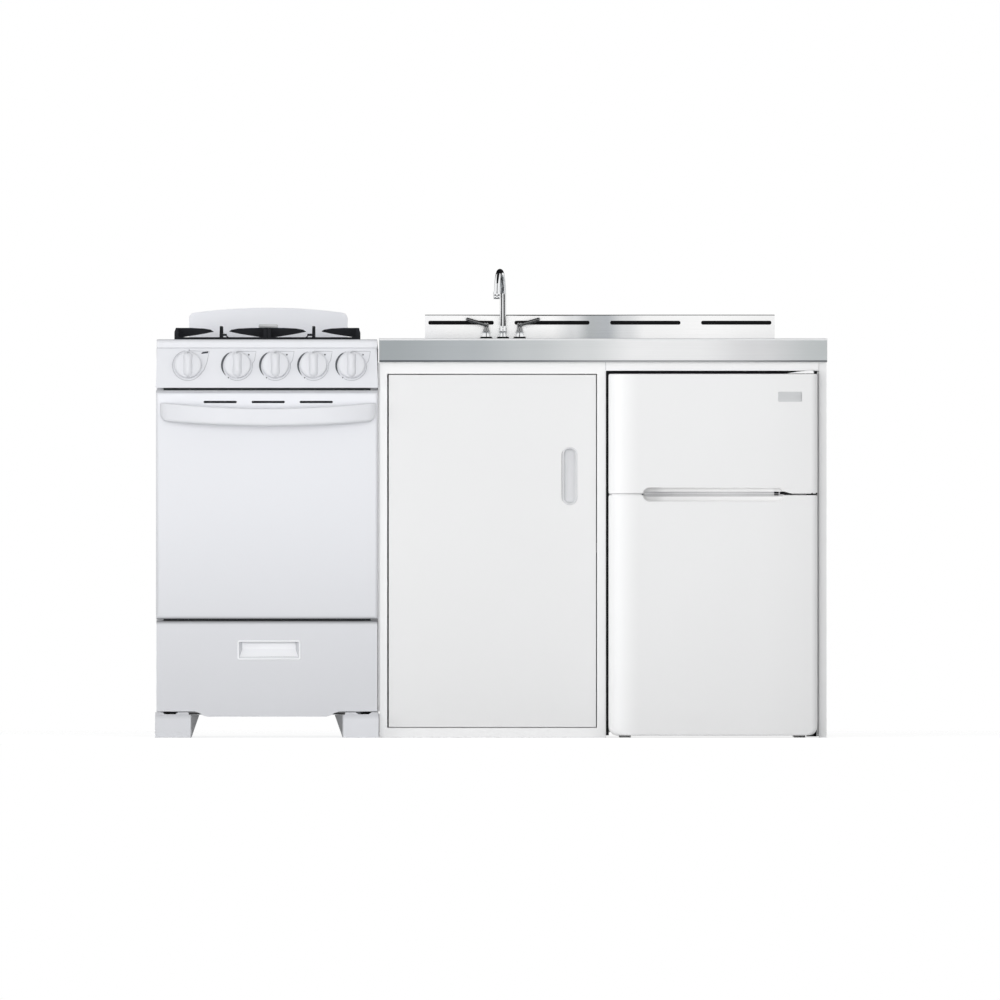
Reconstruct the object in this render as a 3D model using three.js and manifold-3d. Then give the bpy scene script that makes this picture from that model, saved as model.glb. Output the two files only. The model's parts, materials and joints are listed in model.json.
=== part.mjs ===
// Kitchenette unit: a 20-inch gas range, a steel sink cabinet and an under-counter
// refrigerator-freezer, the last two under one stainless-steel top.
// Millimetres, +X to the right, +Y to the back, +Z up. The origin lies on the floor,
// under the middle of the unit.

import * as THREE from 'three';
import { mergeVertices } from 'three/addons/utils/BufferGeometryUtils.js';
import Module from 'manifold-3d';

const wasm = await Module();
wasm.setup();

// ---------------------------------------------------------------- driving dimensions

// The whole unit
const BODY_DEPTH = 600;          // cabinet face to the back
const HANDLE_REACH = 62;         // oven handle in front of the cabinet face
const UNIT_GAP = 1;              // between the range and the sink top
const FIT = 0.3;                 // between pieces that touch
const SHEET = 1.2;               // pressed-steel panels
const FLANGE = 16;               // folded edges of the side panels
const OVER = 5;                  // how far a cutting shape runs past what it cuts
const ARC_STEPS = 3;             // straight steps in a round corner
const SLOT_STEPS = 2;            // and in the ends of a narrow slot

// Range, from the floor up
const RANGE_BODY_W = 506;
const FOOT_OVERHANG = 3;         // feet wider than the body, each side
const DOOR_OVERHANG = 1;         // oven door wider than the body, each side
const FOOT_H = 52;
const DRAWER_LIFT = 8;           // drawer front above the feet
const DRAWER_H = 206.5;
const DRAWER_LIP = 12;           // middle of the drawer front hangs lower by this
const DOOR_GAP = 5.8;
const OVEN_DOOR_H = 519.2;
const PANEL_GAP = 9.5;
const PANEL_H = 91.6;
const COOKTOP_EDGE_H = 19.4;
const LOUVRE_COUNT = 5;          // in the rear panel
const LOUVRE_W = 60;
const LOUVRE_H = 8;
const LOUVRE_PITCH = 84;
const LOUVRE_DOWN = 60;

// Range, front to back
const DOOR_PROUD = 15;           // oven door in front of the cabinet face
const OVEN_DOOR_T = 38;
const DOOR_AIR = 4;              // oven door to the range frame
const PANEL_PROUD = 6;           // lower edge of the control panel, in front of the door
const PANEL_SLANT = 20;          // the panel's upper edge lies back by this
const PANEL_TAPER = 3;           // the panel is narrower at the top, each side
const PANEL_WALL = 1.5;

// Knobs and valves
const KNOB_R = 28.5;
const KNOB_DEPTH = 24;
const KNOB_STANDOFF = 4.5;
const KNOB_PUSH = 3;
const KNOB_UP = 51;              // knob centres above the lower edge of the panel
const OVEN_KNOB_X = -181;
const BURNER_KNOB_X = -68;       // first of the four
const BURNER_KNOB_PITCH = 87.2;
const STEM_R = 4;
const STEM_HOLE_R = 6;
const STEM_OUT = 17;             // stem in front of the panel
const STEM_IN = 32;              // stem behind the panel
const VALVE_R = 11;
const VALVE_SETBACK = 13;        // valve body behind the panel face
const MANIFOLD_R = 9.5;
const MANIFOLD_BEHIND_FRAME = 14;

// Oven
const OVEN_W = 404;
const OVEN_H = 430;
const OVEN_D = 440;
const OVEN_FLOOR_LIFT = 38;      // oven floor above the foot of the door
const OVEN_PLUG = 11;            // inner door panel, as deep as it reaches into the oven
const OVEN_PLUG_GAP = 9;
const LINER_MARGIN = 2;          // inner door panel inside the edge of the door
const FLAME_SLOT_W = 22;
const FLAME_SLOT_L = 260;
const FLAME_SLOT_BACK = 60;      // flame slots behind the mouth of the oven
const LINER_FLANGE_DOWN = 3;     // liner flange below the oven door
const LINER_FLANGE_GAP = 2;      // and under the control panel
const RACK_LIFT = 190;
const RACK_ROD = 6;
const RACK_BARS = 8;
const RACK_END = 26;             // rack ends from the mouth and the back of the oven
const RACK_SIDE_GAP = 1;
const LEDGE = 9;                 // oven side rails that carry the rack
const LEDGE_T = 3;
const LEDGE_END = 20;            // their ends from the mouth and the back of the oven
const OVEN_BURNER_R = 11;
const OVEN_BURNER_DROP = 16;     // burner centre under the oven floor
const OVEN_BURNER_BACK = 70;     // its front end behind the mouth of the oven
const STRAP_W = 60;
const STRAP_D = 20;
const STRAP_T = 2;
const STRAP_WEB = 6;
const STRAP_FIRST = 20;          // first strap behind the end of the burner
const STRAP_PITCH = 280;

// Oven door and its handle
const DOOR_ROUND = 8;
const DOOR_SKIN = 1.5;
const VENT_COUNT = 3;
const VENT_W = 76;
const VENT_H = 5.3;
const VENT_PITCH = 110;
const VENT_DOWN = 23;            // vents below the top of the oven door
const HANDLE_INSET = 8.5;        // handle ends from the sides of the door
const HANDLE_H = 42.5;
const HANDLE_T = 16;
const HANDLE_DROP = 13;          // middle of the handle lower than its ends
const HANDLE_DOWN = 47;          // handle ends below the top of the door
const HANDLE_STEPS = 18;

// Drawer
const DRAWER_FRONT_T = 18;
const DRAWER_LIP_W = 272;
const DRAWER_CURVE_W = 30;
const PULL_W = 136.7;
const PULL_H = 37.2;
const PULL_T = 14;
const PULL_DOWN = 47.5;          // pull below the top of the drawer front
const TRAY_W = 440;
const TRAY_D = 470;
const TRAY_H = 118;
const RUNNER_H = 5;
const GUIDE_H = 24;              // walls beside the tray
const GUIDE_GAP = 1;
const SUPPORT_W = 14;            // strips under the tray

// Feet
const FOOT_W = 83;
const FOOT_PROUD = 16;           // in front of the oven door
const FOOT_FLARE = 18;           // wider at the top of its back
const FOOT_FRONT_D = 70;
const FOOT_WALL = 2;
const RUNNER_W = 60;

// Cooktop
const COOKTOP_INSET = 0.5;       // cooktop narrower than the body, each side
const COOKTOP_RIM = 22;
const COOKTOP_ROUND = 9;
const COOKTOP_SETBACK = 3;       // cooktop edge in front of the top of the panel
const WELL_DEPTH = 16;
const WELL_CORNER = 20;
const REAR_DECK = 62;
const BURNER_X = 106;            // burner centres from the middle of the range
const BURNER_Y = 105;
const BURNER_R = 38;
const BURNER_H = 17;
const BURNER_TUBE_R = 14;
const BURNER_TUBE_L = 26;

// Grates
const GRATE_W = 212;
const GRATE_D = 430;
const GRATE_TOP = 27;            // above the cooktop
const GRATE_BAR = 8;
const GRATE_RAIL_H = 5;
const GRATE_PEAK = 4;            // front and rear fingers stand this much higher
const GRATE_SEAM = 1;            // gap between the two grates
const FINGER_GAP = 18;           // finger tips from the middle of a burner
const FINGER_TIP_H = 8;

// Backguard
const GUARD_W = 365;
const GUARD_H = 75;
const GUARD_CROWN = 11;
const GUARD_T = 22;
const GUARD_ROUND = 14;
const GUARD_SETBACK = 8;         // backguard in front of the back of the range

// Sink cabinet and top
const APRON_H = 54;
const APRON_PROUD = 12;
const APRON_ROUND = 5;
const STILE_L = 17;
const STILE_MID = 20.7;
const STILE_R = 17.6;
const RAIL_BOTTOM = 22;
const RAIL_DOOR_TOP = 27;        // rail over the door, below the apron
const RAIL_FRIDGE_TOP = 20;
const FRAME_T = 8;
const SINK_BAY_W = 480.2;        // door opening
const BACK_RAIL_H = 120;         // back panel over the refrigerator bay

const BACKSPLASH_W = 805.4;
const BACKSPLASH_H = 57;
const BACKSPLASH_T = 24;
const BACKSPLASH_OFF = 104;      // its left end from the left end of the top
const SLOT_COUNT = 4;
const SLOT_W = 162;
const SLOT_H = 7.5;
const SLOT_PITCH = 209.5;
const SLOT_FIRST = 88.5;         // middle of the first slot from the left end
const SLOT_UP = 37;

// Sink
const SINK_X_OFF = 283.5;        // faucet and bowl from the left end of the top
const BOWL_W = 380;
const BOWL_D = 330;
const BOWL_H = 150;
const BOWL_R = 55;
const BOWL_BEND = 22;
const BOWL_FROM_FRONT = 68;
const BOWL_LIP = 16;
const DRAIN_R = 42;
const DRAIN_FLANGE_R = 55;
const DRAIN_H = 34;
const DRAIN_WALL = 2;
const DRAIN_RIM = 2;             // flange above the floor of the bowl
const TAIL_R = 19;
const TAIL_L = 120;
const TRAP_R = 42;
const BASKET_R = 37;
const BASKET_H = 24;

// Faucet
const FAUCET_BEHIND_BOWL = 58;
const VALVE_SPACING = 38.5;      // hot and cold valves, each side of the spout
const BELL_R = 13;
const BELL_H = 18;
const SHANK_R = 8;
const SHANK_L = 34;
const DECK_HOLE_R = 9.5;
const YOKE_H = 14;
const SPOUT_TUBE_R = 6.8;
const SPOUT_REACH = 112;
const SPOUT_TOP = 163;           // above the deck
const OUTLET_UP = 92;            // outlet above the deck
const OUTLET_R = 8.6;
const OUTLET_L = 18;
const COLLAR_R = 9;              // foot of the spout
const COLLAR_H = 12;
const SPOUT_REST_TURN = 7;       // degrees to the left in the resting position
const LEVER_HUB_R = 7.5;
const LEVER_HUB_H = 15;
const LEVER_L = 47;
const LEVER_RISE = 15;
const LEVER_SWEEP_W = 9;
const LEVER_T = 5;

// Sink cabinet door
const SINK_DOOR_T = 18;
const SINK_DOOR_GAP = 2.2;
const SINK_DOOR_HINGE_GAP = 3.4;
const GRIP_W = 36;
const GRIP_H = 133.5;
const GRIP_T = 12;
const GRIP_RIM = 5;
const GRIP_FROM_EDGE = 63;       // middle of the grip from the free edge of the door
const GRIP_UP = 575;             // middle of the grip above the foot of the door

// Refrigerator
const FRIDGE_W = 480;
const FRIDGE_D = 450;
const FRIDGE_SETBACK = 2;        // cabinet behind the face of the sink cabinet
const FRIDGE_BAY_GAP_L = 3.6;    // refrigerator to the stile on its left
const FRIDGE_BAY_GAP_R = 3.9;
const FRIDGE_HEADROOM = 7.2;     // refrigerator to the rail above it
const FRIDGE_DOOR_T = 46;
const GASKET_AIR = 6;
const FRIDGE_FOOT_H = 12;
const FRIDGE_FOOT_R = 14;
const FRIDGE_SKIN = 1.2;
const FRIDGE_WALL = 38;          // insulation
const FRIDGE_DOOR_BOTTOM = 5;
const FRIDGE_DOOR_H = 550.5;
const FREEZER_DOOR_H = 274.5;
const DOOR_SPLIT = 2.8;
const FRIDGE_DOOR_ROUND = 16;
const FRIDGE_DOOR_CORNER = 20;
const SPLIT_WALL = 40;           // wall between the two compartments
const MOTOR_BAY_D = 190;
const MOTOR_BAY_H = 210;
const MOTOR_BAY_FRAME = 10;      // rim around the opening of the motor bay
const MOTOR_BAY_ROOF = 25;       // and under its roof
const FRIDGE_FOOT_INSET = 40;
const HINGE_INSET = 12;
const HINGE_PIN_BACK = 22;       // hinge pins behind the door face
const PIN_R = 3;
const PIN_HOLE_R = 3.6;
const PIN_L = 9;
const HINGE_PLATE_T = 1.6;
const HINGE_PLATE_W = 26;
const DISH_W = 325.8;
const DISH_H = 31;
const DISH_DEPTH = 18;
const DISH_FROM_HINGE = 74.7;    // right end of the dish from the hinge side
const DISH_LIP = 4.8;
const DISH_WALL = 1.5;
const COMPRESSOR_R = 62;
const COMPRESSOR_H = 150;
const COMPRESSOR_OFF = 60;       // right of the middle of the refrigerator
const COMPRESSOR_BACK = 30;      // clear of its back

// ---------------------------------------------------------------- derived places

const RANGE_W = RANGE_BODY_W + 2 * FOOT_OVERHANG;
const RANGE_DOOR_W = RANGE_BODY_W + 2 * DOOR_OVERHANG;
const HANDLE_W = RANGE_DOOR_W - 2 * HANDLE_INSET;
const COOKTOP_W = RANGE_BODY_W - 2 * COOKTOP_INSET;
const BAY_W = FRIDGE_BAY_GAP_L + FRIDGE_W + FRIDGE_BAY_GAP_R;
const COUNTER_W = 2 * (SHEET + FIT) + STILE_L + SINK_BAY_W + STILE_MID + BAY_W + STILE_R;
const LEFT_X = -(RANGE_W + UNIT_GAP + COUNTER_W) / 2;
const RANGE_X = LEFT_X + RANGE_W / 2;
const COUNTER_L = LEFT_X + RANGE_W + UNIT_GAP;
const COUNTER_R = COUNTER_L + COUNTER_W;
const FACE_Y = (HANDLE_REACH - BODY_DEPTH) / 2;
const BACK_Y = FACE_Y + BODY_DEPTH;

const DRAWER_Z = FOOT_H + DRAWER_LIFT;
const DRAWER_TOP = DRAWER_Z + DRAWER_H;
const OVEN_DOOR_Z = DRAWER_TOP + DOOR_GAP;
const OVEN_DOOR_TOP = OVEN_DOOR_Z + OVEN_DOOR_H;
const PANEL_Z = OVEN_DOOR_TOP + PANEL_GAP;
const PANEL_TOP = PANEL_Z + PANEL_H;
const COOKTOP_Z = PANEL_TOP + COOKTOP_EDGE_H;
const KNOB_Z = PANEL_Z + KNOB_UP;

// The refrigerator sets the work height: 914 mm, or 36 inches.
const FRIDGE_DOOR_TOP = FRIDGE_DOOR_BOTTOM + FRIDGE_DOOR_H;
const FREEZER_DOOR_Z = FRIDGE_DOOR_TOP + DOOR_SPLIT;
const FREEZER_DOOR_TOP = FREEZER_DOOR_Z + FREEZER_DOOR_H;
const FRIDGE_TOP = FREEZER_DOOR_TOP;
const COUNTER_Z = FRIDGE_TOP + FRIDGE_HEADROOM + RAIL_FRIDGE_TOP + APRON_H;

const OVEN_DOOR_Y = FACE_Y - DOOR_PROUD;
const FRAME_Y = OVEN_DOOR_Y + OVEN_DOOR_T + DOOR_AIR;
const PANEL_Y = OVEN_DOOR_Y - PANEL_PROUD;
const INNER_HALF = RANGE_BODY_W / 2 - SHEET - FIT;
const INSIDE_BACK_Y = BACK_Y - SHEET - FIT;
const BASE_TOP = FOOT_H + FIT + SHEET;

// ---------------------------------------------------------------- solids

// A closed three.js geometry as a solid: vertices merged, faces turned outwards.
function solid(item) {
  if (!item.isBufferGeometry) return item;
  const source = item.index ? item.toNonIndexed() : item.clone();
  source.deleteAttribute('normal');
  source.deleteAttribute('uv');
  const merged = mergeVertices(source, 1e-4);
  const points = merged.attributes.position.array;
  const corner = (i) => new THREE.Vector3().fromArray(points, 3 * i);
  const faces = [];
  let volume = 0;
  for (let i = 0; i < merged.index.count; i += 3) {
    const [a, b, c] = [0, 1, 2].map((k) => merged.index.getX(i + k));
    if (a === b || b === c || c === a) continue;
    faces.push([a, b, c]);
    volume += corner(a).dot(corner(b).cross(corner(c)));
  }
  if (volume < 0) faces.forEach((face) => face.reverse());
  const triVerts = new Uint32Array(faces.flat());
  return new wasm.Manifold(new wasm.Mesh({ numProp: 3, vertProperties: points, triVerts }));
}

const join = (first, ...rest) => rest.reduce((sum, item) => sum.add(solid(item)), solid(first));
const cut = (first, ...rest) => rest.reduce((left, item) => left.subtract(solid(item)), solid(first));
const common = (first, second) => solid(first).intersect(solid(second));

function faceted(item) {
  const mesh = solid(item).getMesh();
  const geometry = new THREE.BufferGeometry();
  geometry.setAttribute('position', new THREE.BufferAttribute(new Float32Array(mesh.vertProperties), 3));
  geometry.setIndex(new THREE.BufferAttribute(new Uint32Array(mesh.triVerts), 1));
  const flat = geometry.toNonIndexed();
  flat.computeVertexNormals();
  return flat;
}

// ---------------------------------------------------------------- shapes

function box(x0, x1, y0, y1, z0, z1) {
  const geometry = new THREE.BoxGeometry(x1 - x0, y1 - y0, z1 - z0);
  return geometry.translate((x0 + x1) / 2, (y0 + y1) / 2, (z0 + z1) / 2);
}

function polygon(points) {
  return new THREE.Shape(points.map(([x, y]) => new THREE.Vector2(x, y)));
}

// A rectangle whose corners have radii, given from lower left, anticlockwise.
function rounded(x0, x1, y0, y1, radii) {
  const [a, b, c, d] = Array.isArray(radii) ? radii : [radii, radii, radii, radii];
  const shape = new THREE.Shape();
  shape.moveTo(x0 + a, y0);
  shape.lineTo(x1 - b, y0);
  if (b > 0) shape.absarc(x1 - b, y0 + b, b, -Math.PI / 2, 0, false);
  shape.lineTo(x1, y1 - c);
  if (c > 0) shape.absarc(x1 - c, y1 - c, c, 0, Math.PI / 2, false);
  shape.lineTo(x0 + d, y1);
  if (d > 0) shape.absarc(x0 + d, y1 - d, d, Math.PI / 2, Math.PI, false);
  shape.lineTo(x0, y0 + a);
  if (a > 0) shape.absarc(x0 + a, y0 + a, a, Math.PI, 1.5 * Math.PI, false);
  return shape;
}

function extruded(shape, depth, steps = ARC_STEPS) {
  return new THREE.ExtrudeGeometry(shape, { depth, bevelEnabled: false, curveSegments: steps });
}

// An outline drawn in plan (x, y), standing from z0 to z1.
const upright = (shape, z0, z1) => extruded(shape, z1 - z0).translate(0, 0, z0);

// An outline drawn from the front (x, z), running from y0 back to y1.
function across(shape, y0, y1, steps = ARC_STEPS) {
  return extruded(shape, y1 - y0, steps).rotateX(Math.PI / 2).translate(0, y1, 0);
}

// A slot with round ends, cut from y0 back to y1.
function slot(x, z, width, height, y0, y1) {
  const outline = rounded(x - width / 2, x + width / 2, z - height / 2, z + height / 2, height / 2 - 0.1);
  return across(outline, y0, y1, SLOT_STEPS);
}

// An outline drawn from the side (y, z), running from x0 to x1.
const SIDE_ON = new THREE.Matrix4().makeBasis(
  new THREE.Vector3(0, 1, 0), new THREE.Vector3(0, 0, 1), new THREE.Vector3(1, 0, 0));
const along = (shape, x0, x1) => extruded(shape, x1 - x0).applyMatrix4(SIDE_ON).translate(x0, 0, 0);

// A profile of [radius, height] pairs turned about the vertical axis.
function turned(profile, sides = 24) {
  const points = profile.map(([r, z]) => new THREE.Vector2(r, z));
  return new THREE.LatheGeometry(points, sides).rotateX(Math.PI / 2);
}

const rod = (r, z0, z1, sides = 20) => turned([[0, z0], [r, z0], [r, z1], [0, z1]], sides);

// A round rod along X or Y.
const rodX = (r, x0, x1, y, z, sides = 10) => rod(r, x0, x1, sides).rotateY(Math.PI / 2).translate(0, y, z);
const rodY = (r, y0, y1, x, z, sides = 10) => rod(r, -y1, -y0, sides).rotateX(Math.PI / 2).translate(x, 0, z);

function tube(curve, r, steps, sides) {
  const section = new THREE.Shape().absarc(0, 0, r, 0, 2 * Math.PI, false);
  const ring = new THREE.Shape(section.getPoints(sides).slice(0, sides));
  return new THREE.ExtrudeGeometry(ring, { extrudePath: curve, steps, curveSegments: 1, bevelEnabled: false });
}

// A skin over rings of points, one ring after the other, closed at both ends.
function loft(rings) {
  const sides = rings[0].length;
  const points = rings.flat();
  const faces = [];
  for (let i = 0; i + 1 < rings.length; i += 1) {
    for (let k = 0; k < sides; k += 1) {
      const a = i * sides + k;
      const b = i * sides + (k + 1) % sides;
      faces.push(a, b, b + sides, a, b + sides, a + sides);
    }
  }
  const last = (rings.length - 1) * sides;
  for (let k = 1; k + 1 < sides; k += 1) {
    faces.push(0, k + 1, k, last, last + k, last + k + 1);
  }
  const geometry = new THREE.BufferGeometry();
  geometry.setAttribute('position', new THREE.Float32BufferAttribute(points.flat(), 3));
  geometry.setIndex(faces);
  return geometry;
}

// ---------------------------------------------------------------- finishes and pieces

const FINISHES = {
  white: { color: 0xe9eaee, roughness: 0.28, metalness: 0 },
  white_cabinet: { color: 0xe6e8e9, roughness: 0.4, metalness: 0 },
  white_plastic: { color: 0xe7e8ec, roughness: 0.35, metalness: 0 },
  enamel_black: { color: 0x17181c, roughness: 0.35, metalness: 0 },
  cast_iron: { color: 0x1b1c20, roughness: 0.55, metalness: 0.1 },
  stainless: { color: 0xb9bec0, roughness: 0.3, metalness: 1 },
  chrome: { color: 0xd5d8da, roughness: 0.06, metalness: 1 },
  aluminium: { color: 0xbfc2c4, roughness: 0.35, metalness: 1 },
  brass: { color: 0xb39a5c, roughness: 0.35, metalness: 1 },
  zinc: { color: 0x9ea2a5, roughness: 0.45, metalness: 1 },
  oven_enamel: { color: 0x3c3e44, roughness: 0.3, metalness: 0 },
  black: { color: 0x141416, roughness: 0.5, metalness: 0 },
};

const unit = new THREE.Group();
const range = new THREE.Group();
range.position.x = RANGE_X;
unit.add(range);

function piece(parent, name, item, finish) {
  const mesh = new THREE.Mesh(faceted(item), new THREE.MeshStandardMaterial(FINISHES[finish]));
  mesh.name = name;
  parent.add(mesh);
  return mesh;
}

// ---------------------------------------------------------------- range body

const SIDES = [['left', -1], ['right', 1]];

// A folded steel side panel: web, front flange and rear flange.
function foldedSide(outer, inward, y0, y1, flange) {
  const web = outer + inward * SHEET;
  const lip = outer + inward * flange;
  return polygon([[outer, y0], [lip, y0], [lip, y0 + SHEET], [web, y0 + SHEET],
    [web, y1 - SHEET], [lip, y1 - SHEET], [lip, y1], [outer, y1]]);
}

for (const [name, side] of SIDES) {
  const outline = foldedSide(side * RANGE_BODY_W / 2, -side, FRAME_Y, BACK_Y, FLANGE);
  piece(range, `range_side_${name}`, upright(outline, FOOT_H + FIT, PANEL_TOP - FIT), 'white');
}

function rearPanel() {
  const sheet = box(-INNER_HALF, INNER_HALF, INSIDE_BACK_Y - SHEET, INSIDE_BACK_Y,
    BASE_TOP + FIT, PANEL_TOP - FIT);
  const louvres = [];
  for (let i = 0; i < LOUVRE_COUNT; i += 1) {
    const x = (i - (LOUVRE_COUNT - 1) / 2) * LOUVRE_PITCH;
    louvres.push(slot(x, PANEL_TOP - LOUVRE_DOWN, LOUVRE_W, LOUVRE_H,
      INSIDE_BACK_Y - SHEET - OVER, INSIDE_BACK_Y + OVER));
  }
  return cut(sheet, ...louvres);
}
piece(range, 'range_rear_panel', rearPanel(), 'zinc');

// Floor pan with a support and a guide wall along each side of the drawer.
function rangeBase() {
  const y0 = FRAME_Y + SHEET + FIT;
  const parts = [box(-INNER_HALF, INNER_HALF, y0, INSIDE_BACK_Y, FOOT_H + FIT, BASE_TOP)];
  for (const [, side] of SIDES) {
    const wall = side * (TRAY_W / 2 + GUIDE_GAP);
    const [a, b] = [wall, wall + side * SHEET].sort((p, q) => p - q);
    const [c, d] = [wall - side * SUPPORT_W, wall + side * SHEET].sort((p, q) => p - q);
    parts.push(box(a, b, y0, y0 + TRAY_D, BASE_TOP - SHEET / 2, BASE_TOP + GUIDE_H));
    parts.push(box(c, d, y0, y0 + TRAY_D, BASE_TOP - SHEET / 2, BASE_TOP + RUNNER_H));
  }
  return join(...parts);
}
piece(range, 'range_base', rangeBase(), 'zinc');

// A foot: a moulded boot at the front, and a runner under the side panel to the back.
function plinth(side) {
  const bootY = OVEN_DOOR_Y - FOOT_PROUD;
  const outer = side * RANGE_W / 2;
  function boot(inset) {
    const z0 = inset > 0 ? -OVER : 0;
    const x = outer - side * inset;
    const ring = (y, width, flare) => {
      const low = outer - side * (width - inset);
      const high = outer - side * (width + flare - inset);
      return [[x, y, z0], [x, y, FOOT_H - inset], [high, y, FOOT_H - inset], [low, y, z0]];
    };
    return loft([ring(bootY + inset, FOOT_W, 0), ring(bootY + FOOT_FRONT_D - inset, FOOT_W, FOOT_FLARE)]);
  }
  function runner(inset) {
    const [a, b] = [outer - side * inset, outer - side * (RUNNER_W - inset)].sort((p, q) => p - q);
    return box(a, b, bootY + FOOT_FRONT_D - OVER, BACK_Y - FLANGE - inset,
      inset > 0 ? -OVER : 0, FOOT_H - inset);
  }
  return cut(join(boot(0), runner(0)), boot(FOOT_WALL), runner(FOOT_WALL));
}
for (const [name, side] of SIDES) {
  piece(range, `range_foot_${name}`, plinth(side), 'white_plastic');
}

// ---------------------------------------------------------------- oven

const LINER_Y = FRAME_Y + SHEET + FIT;
const OVEN_Z = OVEN_DOOR_Z + OVEN_FLOOR_LIFT;
const OVEN_TOP = OVEN_Z + OVEN_H;

function ovenLiner() {
  const flange = box(-INNER_HALF, INNER_HALF, LINER_Y, LINER_Y + SHEET,
    OVEN_DOOR_Z - LINER_FLANGE_DOWN, PANEL_Z - LINER_FLANGE_GAP);
  const walls = box(-OVEN_W / 2 - SHEET, OVEN_W / 2 + SHEET, LINER_Y, LINER_Y + OVEN_D + SHEET,
    OVEN_Z - SHEET, OVEN_TOP + SHEET);
  const cavity = box(-OVEN_W / 2, OVEN_W / 2, LINER_Y - OVER, LINER_Y + OVEN_D, OVEN_Z, OVEN_TOP);
  const slots = SIDES.map(([, side]) => {
    const middle = side * (OVEN_W / 2 - FLAME_SLOT_W);
    return box(middle - FLAME_SLOT_W / 2, middle + FLAME_SLOT_W / 2,
      LINER_Y + FLAME_SLOT_BACK, LINER_Y + FLAME_SLOT_BACK + FLAME_SLOT_L, OVEN_Z - 2 * SHEET, OVEN_Z + OVER);
  });
  const ledges = SIDES.map(([, side]) => {
    const [a, b] = [side * OVEN_W / 2, side * (OVEN_W / 2 - LEDGE)].sort((p, q) => p - q);
    return box(a - (side < 0 ? SHEET / 2 : 0), b + (side > 0 ? SHEET / 2 : 0),
      LINER_Y + LEDGE_END, LINER_Y + OVEN_D - LEDGE_END, OVEN_Z + RACK_LIFT - LEDGE_T, OVEN_Z + RACK_LIFT);
  });
  return join(cut(join(flange, walls), cavity, ...slots), ...ledges);
}
piece(range, 'oven_liner', ovenLiner(), 'oven_enamel');

function ovenRack() {
  const half = OVEN_W / 2 - RACK_ROD / 2 - RACK_SIDE_GAP;
  const z = OVEN_Z + RACK_LIFT + FIT + RACK_ROD / 2;
  const y0 = LINER_Y + RACK_END;
  const y1 = LINER_Y + OVEN_D - RACK_END;
  const parts = [];
  for (const [, side] of SIDES) parts.push(rodY(RACK_ROD / 2, y0, y1, side * half, z, 6));
  for (const y of [y0 + RACK_ROD, (y0 + y1) / 2, y1 - RACK_ROD]) {
    parts.push(rodX(RACK_ROD / 2, -half, half, y, z, 6));
  }
  const pitch = 2 * half / (RACK_BARS + 1);
  for (let i = 1; i <= RACK_BARS; i += 1) {
    parts.push(rodY(RACK_ROD / 2 - 0.8, y0 + RACK_ROD / 2, y1 - RACK_ROD / 2, -half + i * pitch, z, 4));
  }
  return join(...parts);
}
piece(range, 'oven_rack', ovenRack(), 'chrome');

// A straight burner tube hung from two straps under the oven floor.
function ovenBurner() {
  const z = OVEN_Z - SHEET - OVEN_BURNER_DROP;
  const y0 = LINER_Y + OVEN_BURNER_BACK;
  const y1 = INSIDE_BACK_Y - SHEET - FIT;
  const top = OVEN_Z - SHEET - FIT;
  const parts = [rodY(OVEN_BURNER_R, y0, y1, 0, z, 14)];
  for (const y of [y0 + STRAP_FIRST, y0 + STRAP_FIRST + STRAP_PITCH]) {
    parts.push(box(-STRAP_W / 2, STRAP_W / 2, y, y + STRAP_D, top - STRAP_T, top));
    parts.push(box(-STRAP_WEB / 2, STRAP_WEB / 2, y, y + STRAP_D, z, top - STRAP_T / 2));
  }
  return join(...parts);
}
piece(range, 'oven_burner', ovenBurner(), 'zinc');

// ---------------------------------------------------------------- oven door

const DOOR_BACK_Y = OVEN_DOOR_Y + OVEN_DOOR_T;
const DOOR_SKIN_BACK = DOOR_BACK_Y - SHEET - FIT;

function doorShell(inset) {
  const half = RANGE_DOOR_W / 2 - inset;
  const back = DOOR_SKIN_BACK + (inset > 0 ? OVER : 0);
  const r = DOOR_ROUND - inset;
  const side = rounded(OVEN_DOOR_Y + inset, back, OVEN_DOOR_Z + inset, OVEN_DOOR_TOP - inset, [r, 0, 0, r]);
  const plan = rounded(-half, half, OVEN_DOOR_Y + inset, back, [r, r, 0, 0]);
  return common(along(side, -half, half), upright(plan, OVEN_DOOR_Z, OVEN_DOOR_TOP));
}

function doorSkin() {
  const z = OVEN_DOOR_TOP - VENT_DOWN;
  const vents = [];
  for (let i = 0; i < VENT_COUNT; i += 1) {
    const x = (i - (VENT_COUNT - 1) / 2) * VENT_PITCH;
    vents.push(slot(x, z, VENT_W, VENT_H, OVEN_DOOR_Y - OVER, OVEN_DOOR_Y + DOOR_SKIN + OVER));
  }
  return cut(doorShell(0), doorShell(DOOR_SKIN), ...vents);
}
piece(range, 'oven_door_skin', doorSkin(), 'white');

function doorLiner() {
  const half = RANGE_DOOR_W / 2 - LINER_MARGIN;
  const plugHalf = OVEN_W / 2 - OVEN_PLUG_GAP;
  const z0 = OVEN_Z + OVEN_PLUG_GAP;
  const z1 = OVEN_TOP - OVEN_PLUG_GAP;
  const plate = box(-half, half, DOOR_BACK_Y - SHEET, DOOR_BACK_Y,
    OVEN_DOOR_Z + LINER_MARGIN, OVEN_DOOR_TOP - LINER_MARGIN);
  const plug = box(-plugHalf, plugHalf, DOOR_BACK_Y - SHEET, DOOR_BACK_Y + OVEN_PLUG, z0, z1);
  const hollow = box(-plugHalf + SHEET, plugHalf - SHEET, DOOR_BACK_Y - SHEET - OVER,
    DOOR_BACK_Y + OVEN_PLUG - SHEET, z0 + SHEET, z1 - SHEET);
  return cut(join(plate, plug), hollow);
}
piece(range, 'oven_door_liner', doorLiner(), 'oven_enamel');

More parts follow.
